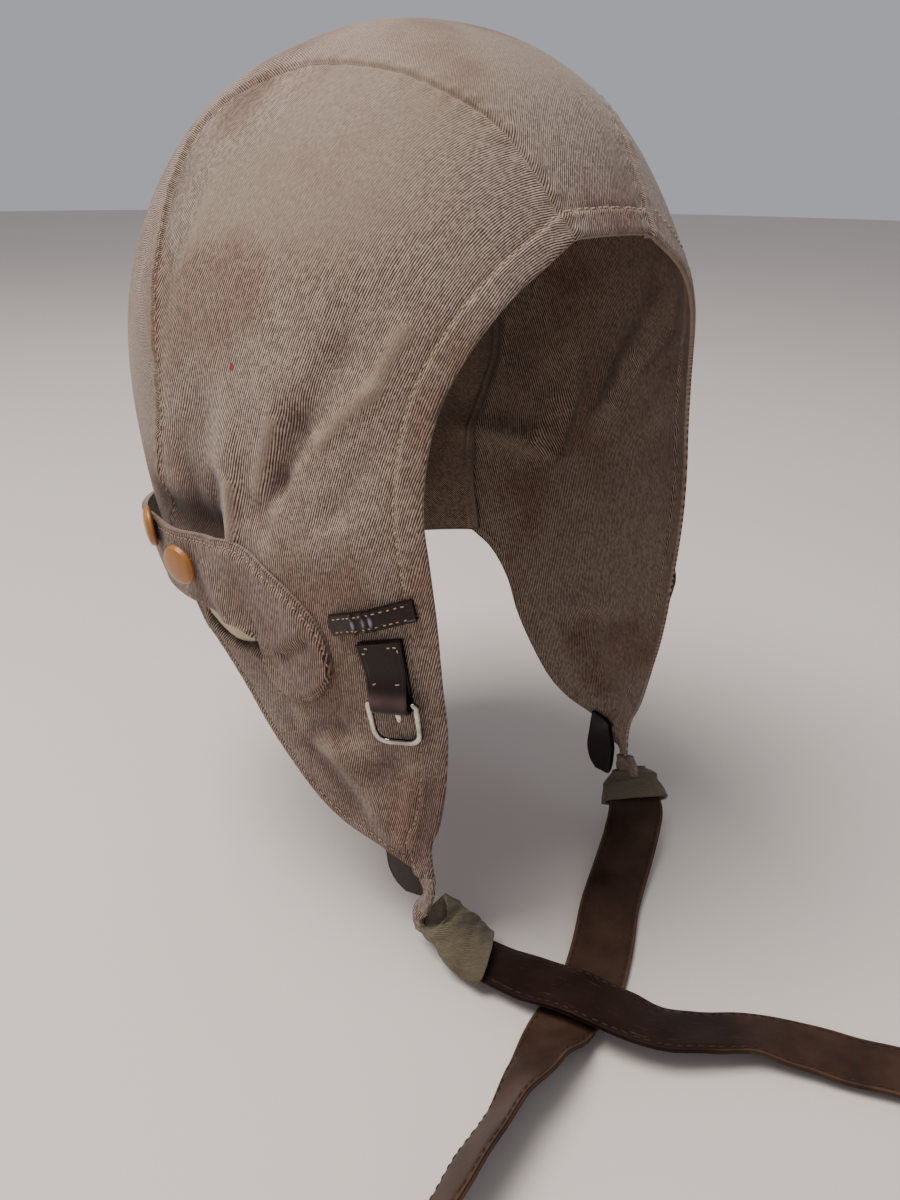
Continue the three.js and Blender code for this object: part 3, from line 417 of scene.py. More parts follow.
def closed_shell(name, outer, inner, uv, finish, slot, nodes=(), rim=0.35, marks=None, rubbed=0.0):
    """A wall between two grids. Round its border a third line bulges out by the rim, so that the
    cut or folded edge is rounded. A mark is at least the rubbed value round that edge."""
    rows, columns = outer.shape[:2]
    index = np.arange(rows * columns).reshape(rows, columns)
    border = np.concatenate([index[0, :-1], index[:-1, -1], index[-1, :0:-1], index[:0:-1, 0]])
    i, j = np.divmod(border, columns)
    inside = index[np.clip(i, 1, rows - 2), np.clip(j, 1, columns - 2)]
    flat_outer, flat_inner = outer.reshape(-1, 3), inner.reshape(-1, 3)
    away = unit(flat_outer[border] - flat_outer[inside])
    middle = (flat_outer[border] + flat_inner[border]) / 2 + away * rim
    points = np.vstack([flat_outer, flat_inner, middle])
    n, m = rows * columns, len(border)
    quads = np.stack([index[:-1, :-1], index[1:, :-1], index[1:, 1:], index[:-1, 1:]], -1)
    quads = quads.reshape(-1, 4)
    rim_line = 2 * n + np.arange(m)
    top = np.stack([border, np.roll(border, -1), np.roll(rim_line, -1), rim_line], -1)
    low = np.stack([rim_line, np.roll(rim_line, -1), np.roll(border, -1) + n, border + n], -1)
    flat_uv = uv.reshape(-1, 2)
    all_uv = np.vstack([flat_uv, flat_uv, flat_uv[border]])
    inner_mark = np.zeros(n)
    inner_mark[border] = rubbed
    all_marks = {}
    for key, value in (marks or {}).items():
        face = np.full((rows, columns), value).ravel()
        all_marks[key] = np.concatenate([face, inner_mark, np.maximum(face[border], rubbed)])
    faces = np.vstack([quads, quads[:, ::-1] + n, top[:, ::-1], low[:, ::-1]])
    add_mesh(name, points, faces, all_uv, finish, slot, nodes, all_marks)


def capsules(line, out, pitch, share, radius, bow, seed):
    """Stitches along a line: each is a six-sided capsule of one pitch times the share, bowed out
    of the cloth by a parabola and sunk at both ends. Place and length vary by a seeded eighth."""
    chance = np.random.default_rng(seed)
    run = run_of(line)
    count = max(1, int(run[-1] / pitch))
    middle = (np.arange(count) + 0.5 + chance.normal(0, 0.12, count)) * run[-1] / count
    length = pitch * share * (1 + chance.normal(0, 0.12, count))
    t = np.array([-1.0, -0.96, -0.82, -0.45, 0.0, 0.45, 0.82, 0.96, 1.0])
    at = np.clip(middle[:, None] + length[:, None] / 2 * t, 0, run[-1])
    centre, normal = (np.stack([np.interp(at, run, column) for column in array.T], -1)
                      for array in (line, out))
    along = unit(centre[:, -1] - centre[:, 0])[:, None]
    normal = unit(normal - along * (normal * along).sum(-1, keepdims=True))
    skew = chance.normal(0, 0.10, (count, 1)) * t * length[:, None] / 2
    side = np.cross(normal, along)
    centre = centre + normal * (bow * (1 - 1.6 * t ** 4))[:, None] + side * skew[..., None]
    thick = radius * np.array([0.12, 0.45, 0.85, 1, 1, 1, 0.85, 0.45, 0.12])
    sides, flatness = 6, 0.8
    turn = np.arange(sides) * math.pi / 3
    ring = side[:, :, None] * np.cos(turn)[:, None] \
        + flatness * normal[:, :, None] * np.sin(turn)[:, None]
    points = centre[:, :, None] + ring * thick[:, None, None]
    first_points = np.arange(count) * len(t) * sides
    faces = tube_faces(len(t), sides)[None] + first_points[:, None, None]
    return points.reshape(-1, 3), faces.reshape(-1, 4)


def tube_faces(rings, sides):
    """Four-sided faces of a tube of rings, whose first and last rings are filled by strips."""
    index = np.arange(rings * sides).reshape(rings, sides)
    around = np.roll(index, -1, axis=1)
    walls = np.stack([index[:-1], around[:-1], around[1:], index[1:]], -1).reshape(-1, 4)
    k = np.arange(sides // 2 - 1)
    lid = np.stack([k, k + 1, sides - 2 - k, sides - 1 - k], -1)
    return np.vstack([walls, lid[:, ::-1], lid + (rings - 1) * sides])


def add_stitches(name, rows, finish, slot):
    """One mesh of several rows of stitches. Each row is the arguments of capsules: line, outward
    ways, pitch, share, radius, bow, seed."""
    parts = [capsules(*row) for row in rows]
    starts = np.cumsum([0] + [len(points) for points, _ in parts])
    points = np.vstack([points for points, _ in parts])
    faces = np.vstack([faces + start for (_, faces), start in zip(parts, starts)])
    add_mesh(name, points, faces, points[:, :2], finish, slot)


def thread_look(light, dark):
    """Two shades of a thread, mixed by its fine fluff and by broader ageing."""
    def varied(wire):
        place = wire.node("ShaderNodeTexCoord", out=3)
        fluff, age = wire.noise(place, 3500.0, 2.0, 0.6), wire.noise(place, 300.0, 2.0)
        return {"Base Color": (fluff * 0.5 + age * 0.6 - 0.05).mix(dark, light),
                "Normal": wire.lift(fluff, 0.0001, 0.7)}
    return varied


pale_thread = new_finish("pale_thread", {"Roughness": 0.9},
                         thread_look(rgb(178, 156, 134), rgb(112, 88, 72)))
ridge_pitch, float_length = 0.60, 1.1


def twill_look(wire, light, dark, stain, pale):
    """Ridges run along V, and each is a row of yarn floats that have their own shades. Broad
    rusty and grey stains lie over them. The ridges fade and the colour lightens where the mesh's
    mark of wear and painted light is above 0, and the colour is darkened as painted shade where
    it is below."""
    u, v, _ = wire.apart(wire.node("ShaderNodeUVMap", {"uv_map": "cloth"}))
    place = wire.node("ShaderNodeTexCoord", out=3)
    wander = wire.noise(wire.joined(u * 0.10, v * 0.05), 1.0, 2.0) - 0.5
    phase = (u + wander * 1.6) / ridge_pitch
    ridge = (phase * (2 * math.pi)).sine() * 0.5 + 0.5
    number = phase.floor()
    float_at = (v / float_length + number * 0.37).floor()
    floats = wire.node("ShaderNodeTexWhiteNoise", {"noise_dimensions": "2D"},
                       {"Vector": wire.joined(number, float_at)})
    fuzz = wire.noise(wire.joined(u * 2.2, v * 0.7), 1.0, 3.0, 0.6)
    broad = wire.noise(place, 24.0, 3.0, 0.55)
    patchy = wire.noise(place, 9.0, 2.0, 0.5)
    wear = wire.node("ShaderNodeAttribute", {"attribute_name": "wear"}, out=2)
    strength = 1 - wear.rise(0.05, 0.45) * 0.85
    woven = ((ridge - 0.5) * 0.85 + (floats - 0.5) * 0.34) * strength
    # below 0 the mark paints shade: the colour is darkened down to 30 % at -1.6
    shade = (woven + (fuzz - 0.5) * 0.36 + 0.43 + wear * 0.12) * (wear.rise(-1.6, 0.0) * 0.7 + 0.3)
    colour = shade.rise(0.05, 1.0).mix(dark, light)
    colour = (broad.rise(0.47, 0.66) * 0.55).mix(colour, stain, "MULTIPLY")
    colour = (patchy.rise(0.5, 0.7) * 0.35).mix(colour, pale, "MULTIPLY")
    height = ridge * strength * 0.5 + floats * 0.2 + fuzz * 0.4
    return colour, height, place


def twill_finish(name, light, dark, stain, pale, spots=()):
    """Twill in four colours. Each spot is a ragged disc round a place in millimetres."""
    def varied(wire):
        colour, height, place = twill_look(wire, light, dark, stain, pale)
        for where, size, tint in spots:
            in_millimetres = wire.node("ShaderNodeVectorMath", {"operation": "MULTIPLY"},
                                       {0: place, 1: (1000, 1000, 1000)})
            gone = wire.node("ShaderNodeVectorMath", {"operation": "DISTANCE"},
                             {0: in_millimetres, 1: where}, 1)
            ragged = gone + (wire.noise(place, 900.0) - 0.5) * size * 0.8
            colour = (1 - ragged.rise(size * 0.75, size)).mix(colour, tint)
        rough = height * 0.10 + 0.82
        return {"Base Color": colour, "Roughness": rough, "Normal": wire.lift(height, 0.00022, 0.9)}
    return new_finish(name, {"Sheen Weight": 0.12, "Sheen Roughness": 0.5,
                             "Specular IOR Level": 0.25}, varied)


twill = twill_finish("khaki_twill", rgb(180, 160, 142), rgb(62, 44, 37), rgb(205, 168, 158),
                     rgb(218, 215, 196))
seam_allowance, tucked_lift, tucked_wall = 4.0, -1.75, 0.8
rim_wear = 0.6  # along every cut or folded edge of the twill


def beside_seam(distance, along):
    """Height of the cloth beside a plain seam: it turns down into the seam, and the sewing thread
    puckers it in small waves that fade 5 mm away."""
    turned_in = -0.75 * np.exp(-(distance / 0.75) ** 2) \
        + 0.28 * np.exp(-((distance - 2.0) / 1.3) ** 2)
    waves = np.sin(along / 1.05 + 2.2 * np.sin(along / 7.3)) + 0.6 * np.sin(along / 2.3 + 1.0)
    return turned_in + 0.16 * waves * np.exp(-((distance - 2.5) / 2.6) ** 2)


seam_line = settle(curve_at(seam_rows, np.linspace(0, 1, 421)))
seam_run = run_of(seam_line)
hem_width = 7.6
hem_thread = 0.3  # the topstitch's distance from the hem's inner side


def hem_height(distance, along):
    """Height of the turned hem: a soft doubled band up to the topstitch, a groove under the
    stitches, and puckers between them."""
    band = 0.55 * step(-0.2, 1.2, distance) * (1 - step(hem_width - 1.4, hem_width, distance))
    groove = -0.38 * np.exp(-((distance - hem_width + hem_thread) / 0.7) ** 2)
    waves = np.sin(along / 0.55 + 1.5 * np.sin(along / 6.0)) + 0.8 * np.sin(along / 1.6 + 0.7)
    near = np.exp(-((distance - hem_width + 2.2) / 2.6) ** 2)
    return band + groove + 0.17 * waves * near


def wear_and_painted_light_at(p):
    """How far the cloth is smoothed and lightened: the folds' crests, which are rubbed smooth and
    painted lighter as a highlight, and the crown and the back. Below 0 the cloth keeps its ridges
    and
    is darker: in the valleys and the recess above the band as painted shade, and towards the bottom
    in part as painted shade."""
    fold = drape(p)
    fine = drape(p, fine_rows[fine_rows[:, 5] > 0])
    # the crests are rubbed smooth and painted lighter as a highlight, and the valleys are darkened
    # as painted shade
    lit_crests_and_shaded_valleys = np.maximum(fine - 0.1, 0) * 0.7 + np.minimum(fold, 0) * 0.30
    behind = step(6, 28, p[..., 1] + 0.35 * (p[..., 2] + 60)) * step(-132, -112, p[..., 2]) * 0.3
    top = step(-70, -42, p[..., 2]) * (0.17 + 0.33 * step(-70, -35, p[..., 1]))
    # darker towards the bottom, in part as painted shade
    low = 0.45 * step(92, 185, -p[..., 2])
    # painted shade in the recess just above the nape band
    painted_shade_above_band = 0.35 * np.exp(-((p[..., 2] + 134) / 8.0) ** 2) * step(-7, -2, p[..., 1]) \
        * (1 - step(26, 38, p[..., 1]))
    return np.clip(lit_crests_and_shaded_valleys + np.maximum(behind, top) - low - painted_shade_above_band, -1.4, 1)


across_share = np.unique(np.concatenate([np.linspace(-1, 1, 121), np.linspace(0.93, 1, 12),
                                         -np.linspace(0.93, 1, 12)]))
heart = heart_of(seam_line)
ray = unit(seam_line - heart)
half_angle = np.arctan2(np.abs(ray[:, 0]), np.hypot(ray[:, 1], ray[:, 2]))
middle_ray = unit(ray * [0, 1, 1])
reach = np.linalg.norm(seam_line - heart, axis=1)
under = np.array([0.35, 1.2, seam_allowance])
beyond = np.concatenate([-under[::-1], np.zeros(len(across_share)), under])
tuck = len(under)
share = np.concatenate([np.full(tuck, -1.0), across_share, np.full(tuck, 1.0)])
angle = half_angle[:, None] * share + beyond / reach[:, None]
ways = middle_ray[:, None] * np.cos(angle)[..., None] + np.sin(angle)[..., None] * [1, 0, 0]
centre_grid = settle(heart[:, None] + ways * crown_rise)
to_seam = (1 - np.abs(share)) * half_angle[:, None] * reach[:, None]
tucked = np.abs(beyond) > 0
centre_lift = beside_seam(to_seam, seam_run[:, None]) \
    + hem_height(seam_run[:, None], (angle - angle[:, :1]) * reach[:, None])
centre_lift = np.where(tucked, tucked_lift, centre_lift)
wall_here = np.where(tucked, tucked_wall, cloth_wall)
centre_uv = lay_flat(centre_grid, np.array([1.0, 0, 0]), row=150, column=72,
                     bias=math.radians(60))
closed_shell("cloth_centre_panel", dressed(centre_grid, centre_lift),
             dressed(centre_grid, centre_lift - wall_here), centre_uv, twill, "twill",
             ["centre_panel"], marks={"wear": wear_and_painted_light_at(centre_grid)}, rubbed=rim_wear)
brow_row = int(np.argmin(np.abs(seam_run - hem_width + hem_thread)))
brow_line = dressed(centre_grid[brow_row, tuck:-tuck], centre_lift[brow_row, tuck:-tuck])
add_stitches("thread_brow_hem", [(brow_line, outward(brow_line), 2.6, 0.66, 0.34, 0.24, 3)],
             pale_thread, "twill")


# Side panels: the right and the left twill side of the cap, each with its turned face hem. A panel
# runs down past the ear as the flap and the tail. It is seamed to the centre panel along the crown
# and behind the ear, and its rear edge is a narrow turned hem.
hem_rows = np.array([  # the face edge, brow to tail
    [-16.4, -76.0, -50.5], [-27.8, -75.8, -56.6], [-35.2, -74.7, -61.2], [-41.9, -73.1, -67.1],
    [-46.9, -71.5, -72.9], [-52.5, -69.0, -81.8], [-55.8, -67.4, -90.0], [-58.2, -66.3, -102.0],
    [-59.2, -66.4, -114.6], [-58.6, -67.9, -127.0], [-57.4, -69.3, -142.0], [-55.2, -69.6, -163.0],
    [-53.5, -69.8, -176.0], [-52.4, -68.8, -188.7], [-51.7, -67.0, -201.2], [-51.4, -64.3, -214.0],
    [-51.6, -61.6, -221.0], [-51.4, -61.0, -225.2], [-50.5, -61.8, -235.4]])
rear_rows = np.array([  # the rear edge, nape to tail
    [-65.5, 34.0, -175.0], [-64.6, 22.0, -180.4], [-63.8, 12.0, -190.0], [-61.5, 4.0, -202.0],
    [-59.5, -6.0, -213.0], [-58.0, -17.5, -222.5], [-56.8, -28.0, -226.8], [-55.1, -44.0, -228.9],
    [-53.3, -51.4, -231.4], [-52.1, -55.6, -234.0]])
hem_limit, seam_part = 0.45, 19 / 28  # hem's part of the width, seam's part of the length
corner_part, brow_part = 16 / 35, 1 / 28  # where the top edge turns, where the hem's start ends
temple_y, eased_length, ease_rate = -48, 58, 0.0035  # the cloth's U is eased behind the temple
topstitch_from = 235  # the point of the seam where its topstitch begins
hem_share, rear_inset, seam_inset = 0.955, 2.7, 1.9  # how far in the rows of stitches lie
both_sides = (("right", 1), ("left", -1))  # name, and the sign that mirrors X
slit_rows = np.array([  # below the right pocket's slit: a crevice, and the cloth's lip under it
    [24.4, -168.6, 17.2, -170.6, 1.4, -3.6], [15.2, -171.0, 6.2, -171.2, 1.4, -3.6],
    [4.2, -170.9, -4.5, -168.6, 1.3, -3.0], [28, -171.8, 16, -174.2, 1.8, 0.9],
    [14, -174.4, -3.0, -172.4, 1.8, 0.9]])
cloth_spots = [  # centre in millimetres, radius, colour
    ((-74.5, -10.9, -83.3), 1.2, rgb(122, 36, 34)), ((-73.8, -28.7, -103.0), 1.1, rgb(62, 42, 38)),
    ((-73.5, -30.0, -105.2), 1.5, rgb(58, 38, 34)), ((-73.2, -31.3, -107.4), 1.1, rgb(64, 44, 38)),
    ((-73.0, -32.2, -109.4), 0.7, rgb(80, 56, 50))]
spotted_twill = twill_finish("khaki_twill_spotted", rgb(180, 160, 142), rgb(62, 43, 36),
                             rgb(205, 164, 154), rgb(218, 215, 196), cloth_spots)


def nearest_on(points, line, run):
    """Distance from each point to a line of points, and how far along it the nearest one is."""
    flat = points.reshape(-1, 3)
    squared = (flat ** 2).sum(1)[:, None] + (line ** 2).sum(1) - 2 * flat @ line.T
    near = squared.argmin(1)
    away = np.sqrt(np.maximum(squared[np.arange(len(flat)), near], 0))
    return away.reshape(points.shape[:-1]), run[near].reshape(points.shape[:-1])


def eased(fine_ends, count, near):
    """Shares from 0 to 1, closer together over the first and last part named near."""
    inner = np.linspace(near, 1 - near, count)
    return np.concatenate([np.linspace(0, near, fine_ends)[:-1], inner,
                           np.linspace(1 - near, 1, fine_ends)[1:]])


down_share = eased(12, 190, 0.03)[:, None]
hem_line = settle(curve_at(hem_rows, down_share[:, 0]))
hem_run = run_of(hem_line)
hem_seam = hem_width / seam_run[-1]
corner = hem_seam + (1 - hem_seam) * corner_part
down_seam = np.minimum(down_share[:, 0] / seam_part, 1)
down_rear = np.clip((down_share[:, 0] - seam_part) / (1 - seam_part), 0, 1)
rear_side = np.where(down_share <= seam_part,
                     settle(curve_at(seam_rows, corner + (1 - corner) * down_seam)),
                     settle(curve_at(rear_rows, down_rear)))
along_hem = unit(np.gradient(hem_line, axis=0))
into_cloth = np.cross(along_hem, outward(hem_line))
into_cloth *= np.sign(into_cloth[:, 1:2])
band_wide = np.minimum(hem_width, hem_limit * np.linalg.norm(hem_line - rear_side, axis=1))[:, None]
first_step = settle(curve_at(seam_rows, [hem_seam])) - hem_line[:1]
band_way = first_step + (into_cloth * band_wide - first_step) * step(0, brow_part, down_share)
within = settle(hem_line + band_way)
band_share = np.linspace(0, 1, 17)[:-1]
patch_share = eased(9, 130, 0.06)
top_edge = settle(curve_at(seam_rows, hem_seam + (corner - hem_seam) * patch_share))[None]
ruled = within[:, None] * (1 - patch_share[:, None]) + rear_side[:, None] * patch_share[:, None]
patch = ruled + (1 - down_share[..., None]) * (top_edge - ruled[:1])
band = hem_line[:, None] + (within - hem_line)[:, None] * band_share[:, None]
side_grid = settle(np.concatenate([band, patch], axis=1))
rear_line = settle(curve_at(rear_rows, np.linspace(0, 1, 240)))
rear_run = run_of(rear_line)


def side_lift(p):
    """Height of a side panel's face above its folds: the hem, the seam, and the rear edge's
    narrow hem, with the groove and the puckers of its row of stitches."""
    from_hem, hem_at = nearest_on(p, hem_line, hem_run)
    from_seam, seam_at = nearest_on(p, seam_line, seam_run)
    from_rear, rear_at = nearest_on(p, rear_line, rear_run)
    narrow = 0.30 * (1 - step(2.4, 3.2, from_rear)) - 0.28 * np.exp(-((from_rear - 2.9) / 0.6) ** 2)
    waves = 0.16 * np.sin(rear_at / 0.8 + np.sin(rear_at / 5)) \
        * np.exp(-((from_rear - 2.5) / 2.0) ** 2)
    return hem_height(from_hem, hem_at) + beside_seam(from_seam, seam_at) + narrow + waves


past_temple = side_grid[..., 1] - temple_y
eased_out = ease_rate * (np.maximum(past_temple, 0) ** 2
                         - np.maximum(past_temple - eased_length, 0) ** 2)
for side, sign in both_sides:
    grid = side_grid * [sign, 1, 1]
    lift = side_lift(side_grid)
    slit = drape(side_grid, slit_rows) * (side == "right")
    # the slit's crevice dents the inner face, and half its depth darkens the colour as painted
    # shade
    crevice = np.minimum(slit, 0)
    uv = lay_flat(grid, np.array([0, 1.0, 0]), row=110, column=80, bias=math.radians(74))
    uv[..., 0] += eased_out  # the ridges lie wider behind the temple
    closed_shell("cloth_side_" + side, dressed(grid, lift + slit),
                 dressed(grid, lift + crevice - cloth_wall), uv,
                 spotted_twill if side == "right" else twill, "twill", ["side_panel_" + side],
                 marks={"wear": wear_and_painted_light_at(side_grid) + crevice * 0.5}, rubbed=rim_wear)


def beside(line, way, distance):
    """A line on the form at a distance beside another, on the side that the way points to."""
    across = np.cross(unit(np.gradient(line, axis=0)), outward(line))
    return settle(line + across * np.sign((across * way).sum(-1, keepdims=True)) * distance)


hem_stitch = settle(hem_line + band_way * hem_share)[3:-6]
rear_stitch = beside(rear_line, [0, 0, 1.0], rear_inset)[4:-10]
seam_stitch = beside(seam_line[topstitch_from:], [0, -1.0, 0], seam_inset)
side_stitches = [(dressed(line, side_lift(line)), outward(line), *thread) for line, *thread in (
    (hem_stitch, 2.7, 0.6, 0.28, 0.16, 5), (rear_stitch, 2.2, 0.55, 0.22, 0.12, 6),
    (seam_stitch, 2.9, 0.6, 0.26, 0.16, 7))]
for side, sign in both_sides:
    mirror = np.array([sign, 1, 1])
    add_stitches("thread_side_" + side, [(line * mirror, out * mirror, *thread)
                                         for line, out, *thread in side_stitches],
                 pale_thread, "twill")


# Ear pockets: on each side a doubled piece of twill, topstitched to the panel along its front and
# top. It gapes at a slit below the ear and runs on behind as half of the nape band, where it
# stands clear of the cap. The band's right end lies over its left end.
doubled_wall = 2.0
pocket_rows = np.array([  # upper edge y, z and lower edge y, z
    [-38.6, -164.4, -38.5, -165.4], [-38.8, -157.1, -35.6, -170.6], [-36.8, -150.8, -31.6, -175.4],
    [-31.5, -145.0, -25.2, -180.4], [-23.5, -139.6, -16.6, -183.5], [-13.5, -135.0, -10.0, -180.3],
    [-3.6, -133.2, -12.2, -165.8], [5.5, -134.6, -6.5, -159.6], [15.5, -135.8, 2.8, -159.0],
    [25.6, -136.6, 11.9, -158.4]])
band_rows = np.array([  # degrees behind the ear line, upper z, lower z
    [30, -136.8, -160.4], [45, -140.4, -163.0], [60, -143.0, -165.4], [75, -145.0, -167.2],
    [90, -146.4, -168.6], [102, -147.2, -169.2]])
band_stand_off = {"ear": 3.1, "right": 3.35, "left": 0.65}
pocket_lift, pocket_lead = 0.7, 10 / 16  # sewn edge's height, pocket's part of the length
pocket_inset = 1.9  # the stitches' distance from the edge
pocket_creases = np.array([  # y, z to y, z, half width, height
    [8, -145, -1, -160, 3.0, 0.7], [15, -147, 6, -160, 3.0, -0.8],
    [-32, -157, -20, -165.5, 1.7, -1.2], [-30, -154, -21, -161, 2.6, 0.6],
    [-14, -170, -24, -178, 3.5, -0.7], [24, -150, 12, -158, 4.5, -0.8],
    [-22, -166, -14, -170, 3.0, -0.5]])
pocket_twill = twill_finish("khaki_twill_doubled", rgb(172, 150, 134), rgb(56, 40, 35),
                            rgb(205, 166, 158), rgb(214, 210, 196))


def reach_out(start, way):
    """Where rays from inside the form leave it, halving a stretch of 180 mm forty times."""
    low, high = np.zeros(start.shape[:-1]), np.full(start.shape[:-1], 180.0)
    for _ in range(40):
        middle = (low + high) / 2
        inside = form_size(start + way * middle[..., None]) < 1
        low, high = np.where(inside, middle, low), np.where(inside, high, middle)
    return start + way * low[..., None]


def beside_at(y, z):
    """Places on the right side of the form, from their reach back and height."""
    start = np.stack([np.zeros_like(y), y, z], -1)
    return reach_out(start, np.broadcast_to([-1.0, 0, 0], start.shape))


def round_at(turn, z):
    """Places on the form round the back, from degrees behind the ear line and height."""
    turn = np.radians(turn)
    start = np.stack([np.zeros_like(turn), np.full_like(turn, middle_y), np.asarray(z)], -1)
    return reach_out(start, np.stack([-np.cos(turn), np.sin(turn), np.zeros_like(turn)], -1))


upper_edge = np.vstack([beside_at(pocket_rows[:, 0], pocket_rows[:, 1]),
                        round_at(band_rows[:, 0], band_rows[:, 1])])
lower_edge = np.vstack([beside_at(pocket_rows[:, 2], pocket_rows[:, 3]),
                        round_at(band_rows[:, 0], band_rows[:, 2])])
pocket_share = np.concatenate([np.linspace(0, 0.06, 16)[:-1], np.linspace(0.06, 1, 240)])
pocket_down = eased(12, 34, 0.12)
last_row = len(upper_edge) - 1
upper_line = curve_by_row(upper_edge, pocket_share * last_row)
lower_line = curve_by_row(lower_edge, pocket_share * last_row)
pocket_grid = settle(upper_line[:, None] * (1 - pocket_down[:, None])
                     + lower_line[:, None] * pocket_down[:, None])
pocket_width = np.linalg.norm(upper_line - lower_line, axis=1)[:, None]
from_top = pocket_down * pocket_width
from_low = (1 - pocket_down) * pocket_width
sewn = 1 - step(0.40, 0.47, pocket_share)[:, None]  # 1 where it is sewn down, 0 behind
lobe = step(0.22, 0.30, pocket_share)[:, None] * sewn  # 1 on the rounded lower end


def stand_off(share, down, side):
    """Height of the pocket's under face: low along the sewn front, gaping at the slit, clear of
    the cap behind the ear, and at its side's own height where the band's ends overlap."""
    lead = share / pocket_lead
    slit, behind_ear, nape = step(0.60, 0.78, lead), step(0.7, 1.0, lead), step(1.12, 1.38, lead)
    clear = band_stand_off["ear"] + (band_stand_off[side] - band_stand_off["ear"]) * nape
    return pocket_lift + 2.6 * slit * down ** 2 * (1 - behind_ear) \
        + (clear - pocket_lift) * behind_ear


def pocket_relief():
    """Height of the pocket's face: pressed down along its sewn edge and the lobe's lower edge,
    with a line of stitches, and creases that run down to the slit and across the lobe."""
    edge = np.minimum(from_top, np.where(sewn > 0.5, from_low, 99.0))
    pressed = -1.25 * (1 - step(0.0, 4.0, edge)) * sewn \
        - 0.75 * (1 - step(0.0, 8.0, from_low)) * lobe
    line = -0.22 * np.exp(-((np.minimum(from_top, from_low) - pocket_inset) / 0.55) ** 2)
    ripple = 0.14 * np.sin(run_of(upper_line)[:, None] / 0.62) \
        * np.exp(-((from_top - 2.4) / 1.8) ** 2)
    creases = fold_height(pocket_grid, pocket_creases) * (pocket_grid[..., 0] < -50)
    return pressed + line * (1 - lobe * (from_low < from_top)) + ripple + creases


pocket_wear = 0.5 * (1 - step(0, 14, from_low)) * step(0.24, 0.34, pocket_share)[:, None] * sewn \
    - 0.2
pocket_face = doubled_wall + pocket_relief()
lowered = -0.5 * sewn * (1 - step(0, 5, np.minimum(from_top, from_low)))
thread_share = pocket_inset / pocket_width[:, 0]
for side, sign in both_sides:
    places = pocket_grid * [sign, 1, 1]
    under_face = stand_off(pocket_share[:, None], pocket_down, side)
    outer = dressed(places, under_face + pocket_face, fold_rows)
    inner = dressed(places, under_face + lowered, fold_rows)
    uv = lay_flat(places, np.array([0, 1.0, 0]), row=60, column=24, bias=math.radians(78)) * 0.78
    closed_shell("cloth_ear_pocket_" + side, outer, inner, uv, pocket_twill, "twill",
                 ["ear_pocket_" + side], marks={"wear": pocket_wear}, rubbed=rim_wear)
    rows = []
    for share, start, end, seed in (  # place across, first and last point, seed
            (thread_share, 8, 250, 11), (1 - thread_share, 8, 92, 12)):
        column = np.interp(share, pocket_down, np.arange(len(pocket_down)))
        k = np.minimum(column.astype(int), len(pocket_down) - 2)
        part = (column - k)[:, None]
        at = np.arange(len(k))
        line = (outer[at, k] * (1 - part) + outer[at, k + 1] * part)[start:end]
        rows.append((line, outward(line), 1.9, 0.55, 0.24, 0.14, seed))
    add_stitches("thread_pocket_" + side, rows, pale_thread, "twill")


# Pocket lining: a strip of cream chamois leather sewn into the slit of each pocket. It is tucked
# up behind the pocket's lower edge, and shows below it as a narrow crescent.
lining_from, lining_to = np.array([-6.8, -164.4]), np.array([17.5, -163.2])
lining_show, lining_tuck, lining_lift, lining_wall = 4.2, 7.0, 0.55, 0.9


def chamois_look(wire):
    """Chamois: fine nap and broad blotches mix two shades, and the nap is raised."""
    place = wire.node("ShaderNodeTexCoord", out=3)
    nap, blotch = wire.noise(place, 1400.0, 3.0, 0.6), wire.noise(place, 120.0, 2.0)
    colour = (nap * 0.6 + blotch * 0.5).mix(rgb(150, 134, 104), rgb(194, 178, 148))
    return {"Base Color": colour, "Normal": wire.lift(nap, 0.0001, 0.6)}


chamois = new_finish("cream_chamois", {"Roughness": 0.95, "Sheen Weight": 0.3}, chamois_look)
along_slit = np.linspace(0, 1, 60)
across_slit = np.linspace(0, 1, 10)
slit_line = lining_from + along_slit[:, None] * (lining_to - lining_from)
shown = lining_show * np.sin(np.pi * (0.06 + 0.88 * along_slit))
lining_z = slit_line[:, 1:] + lining_tuck - across_slit * (lining_tuck + shown)[:, None]
lining_grid = beside_at(np.broadcast_to(slit_line[:, :1], lining_z.shape), lining_z)
for side, sign in both_sides:
    places = lining_grid * [sign, 1, 1]
    closed_shell("chamois_crescent_" + side, dressed(places, lining_lift + lining_wall, fold_rows),
                 dressed(places, lining_lift, fold_rows), lining_grid[..., 1:], chamois, "chamois",
                 ["pocket_lining_" + side], rim=0.2)


# Press studs: two caps of mustard enamelled metal on each half of the nape band, pressed through
# its doubled cloth. Each is a flat dome with a rolled rim. The front one leans, and the rear one
# is turned to the back.
stud_rows = np.array([[0.578, 0.37, 0.2], [0.650, 0.08, -0.3]])  # share along, share down, lean
stud_radius, stud_height, stud_rim, stud_seat = 6.4, 3.0, 1.62, 0.45


def enamel_look(wire):
    """Enamel: clouds and specks of two mustard shades, which also ripple its gloss."""
    place = wire.node("ShaderNodeTexCoord", out=3)
    cloud, speck = wire.noise(place, 160.0, 3.0, 0.6), wire.noise(place, 1500.0, 2.0)
    colour = (cloud * 0.8 + speck * 0.3 - 0.05).mix(rgb(112, 66, 22), rgb(170, 108, 38))
    return {"Base Color": colour, "Roughness": cloud * 0.2 + 0.28,
            "Normal": wire.lift(cloud * 0.7 + speck * 0.3, 0.00012, 0.5)}


enamel = new_finish("mustard_enamel", {"Coat Weight": 0.25, "Coat Roughness": 0.25}, enamel_look)


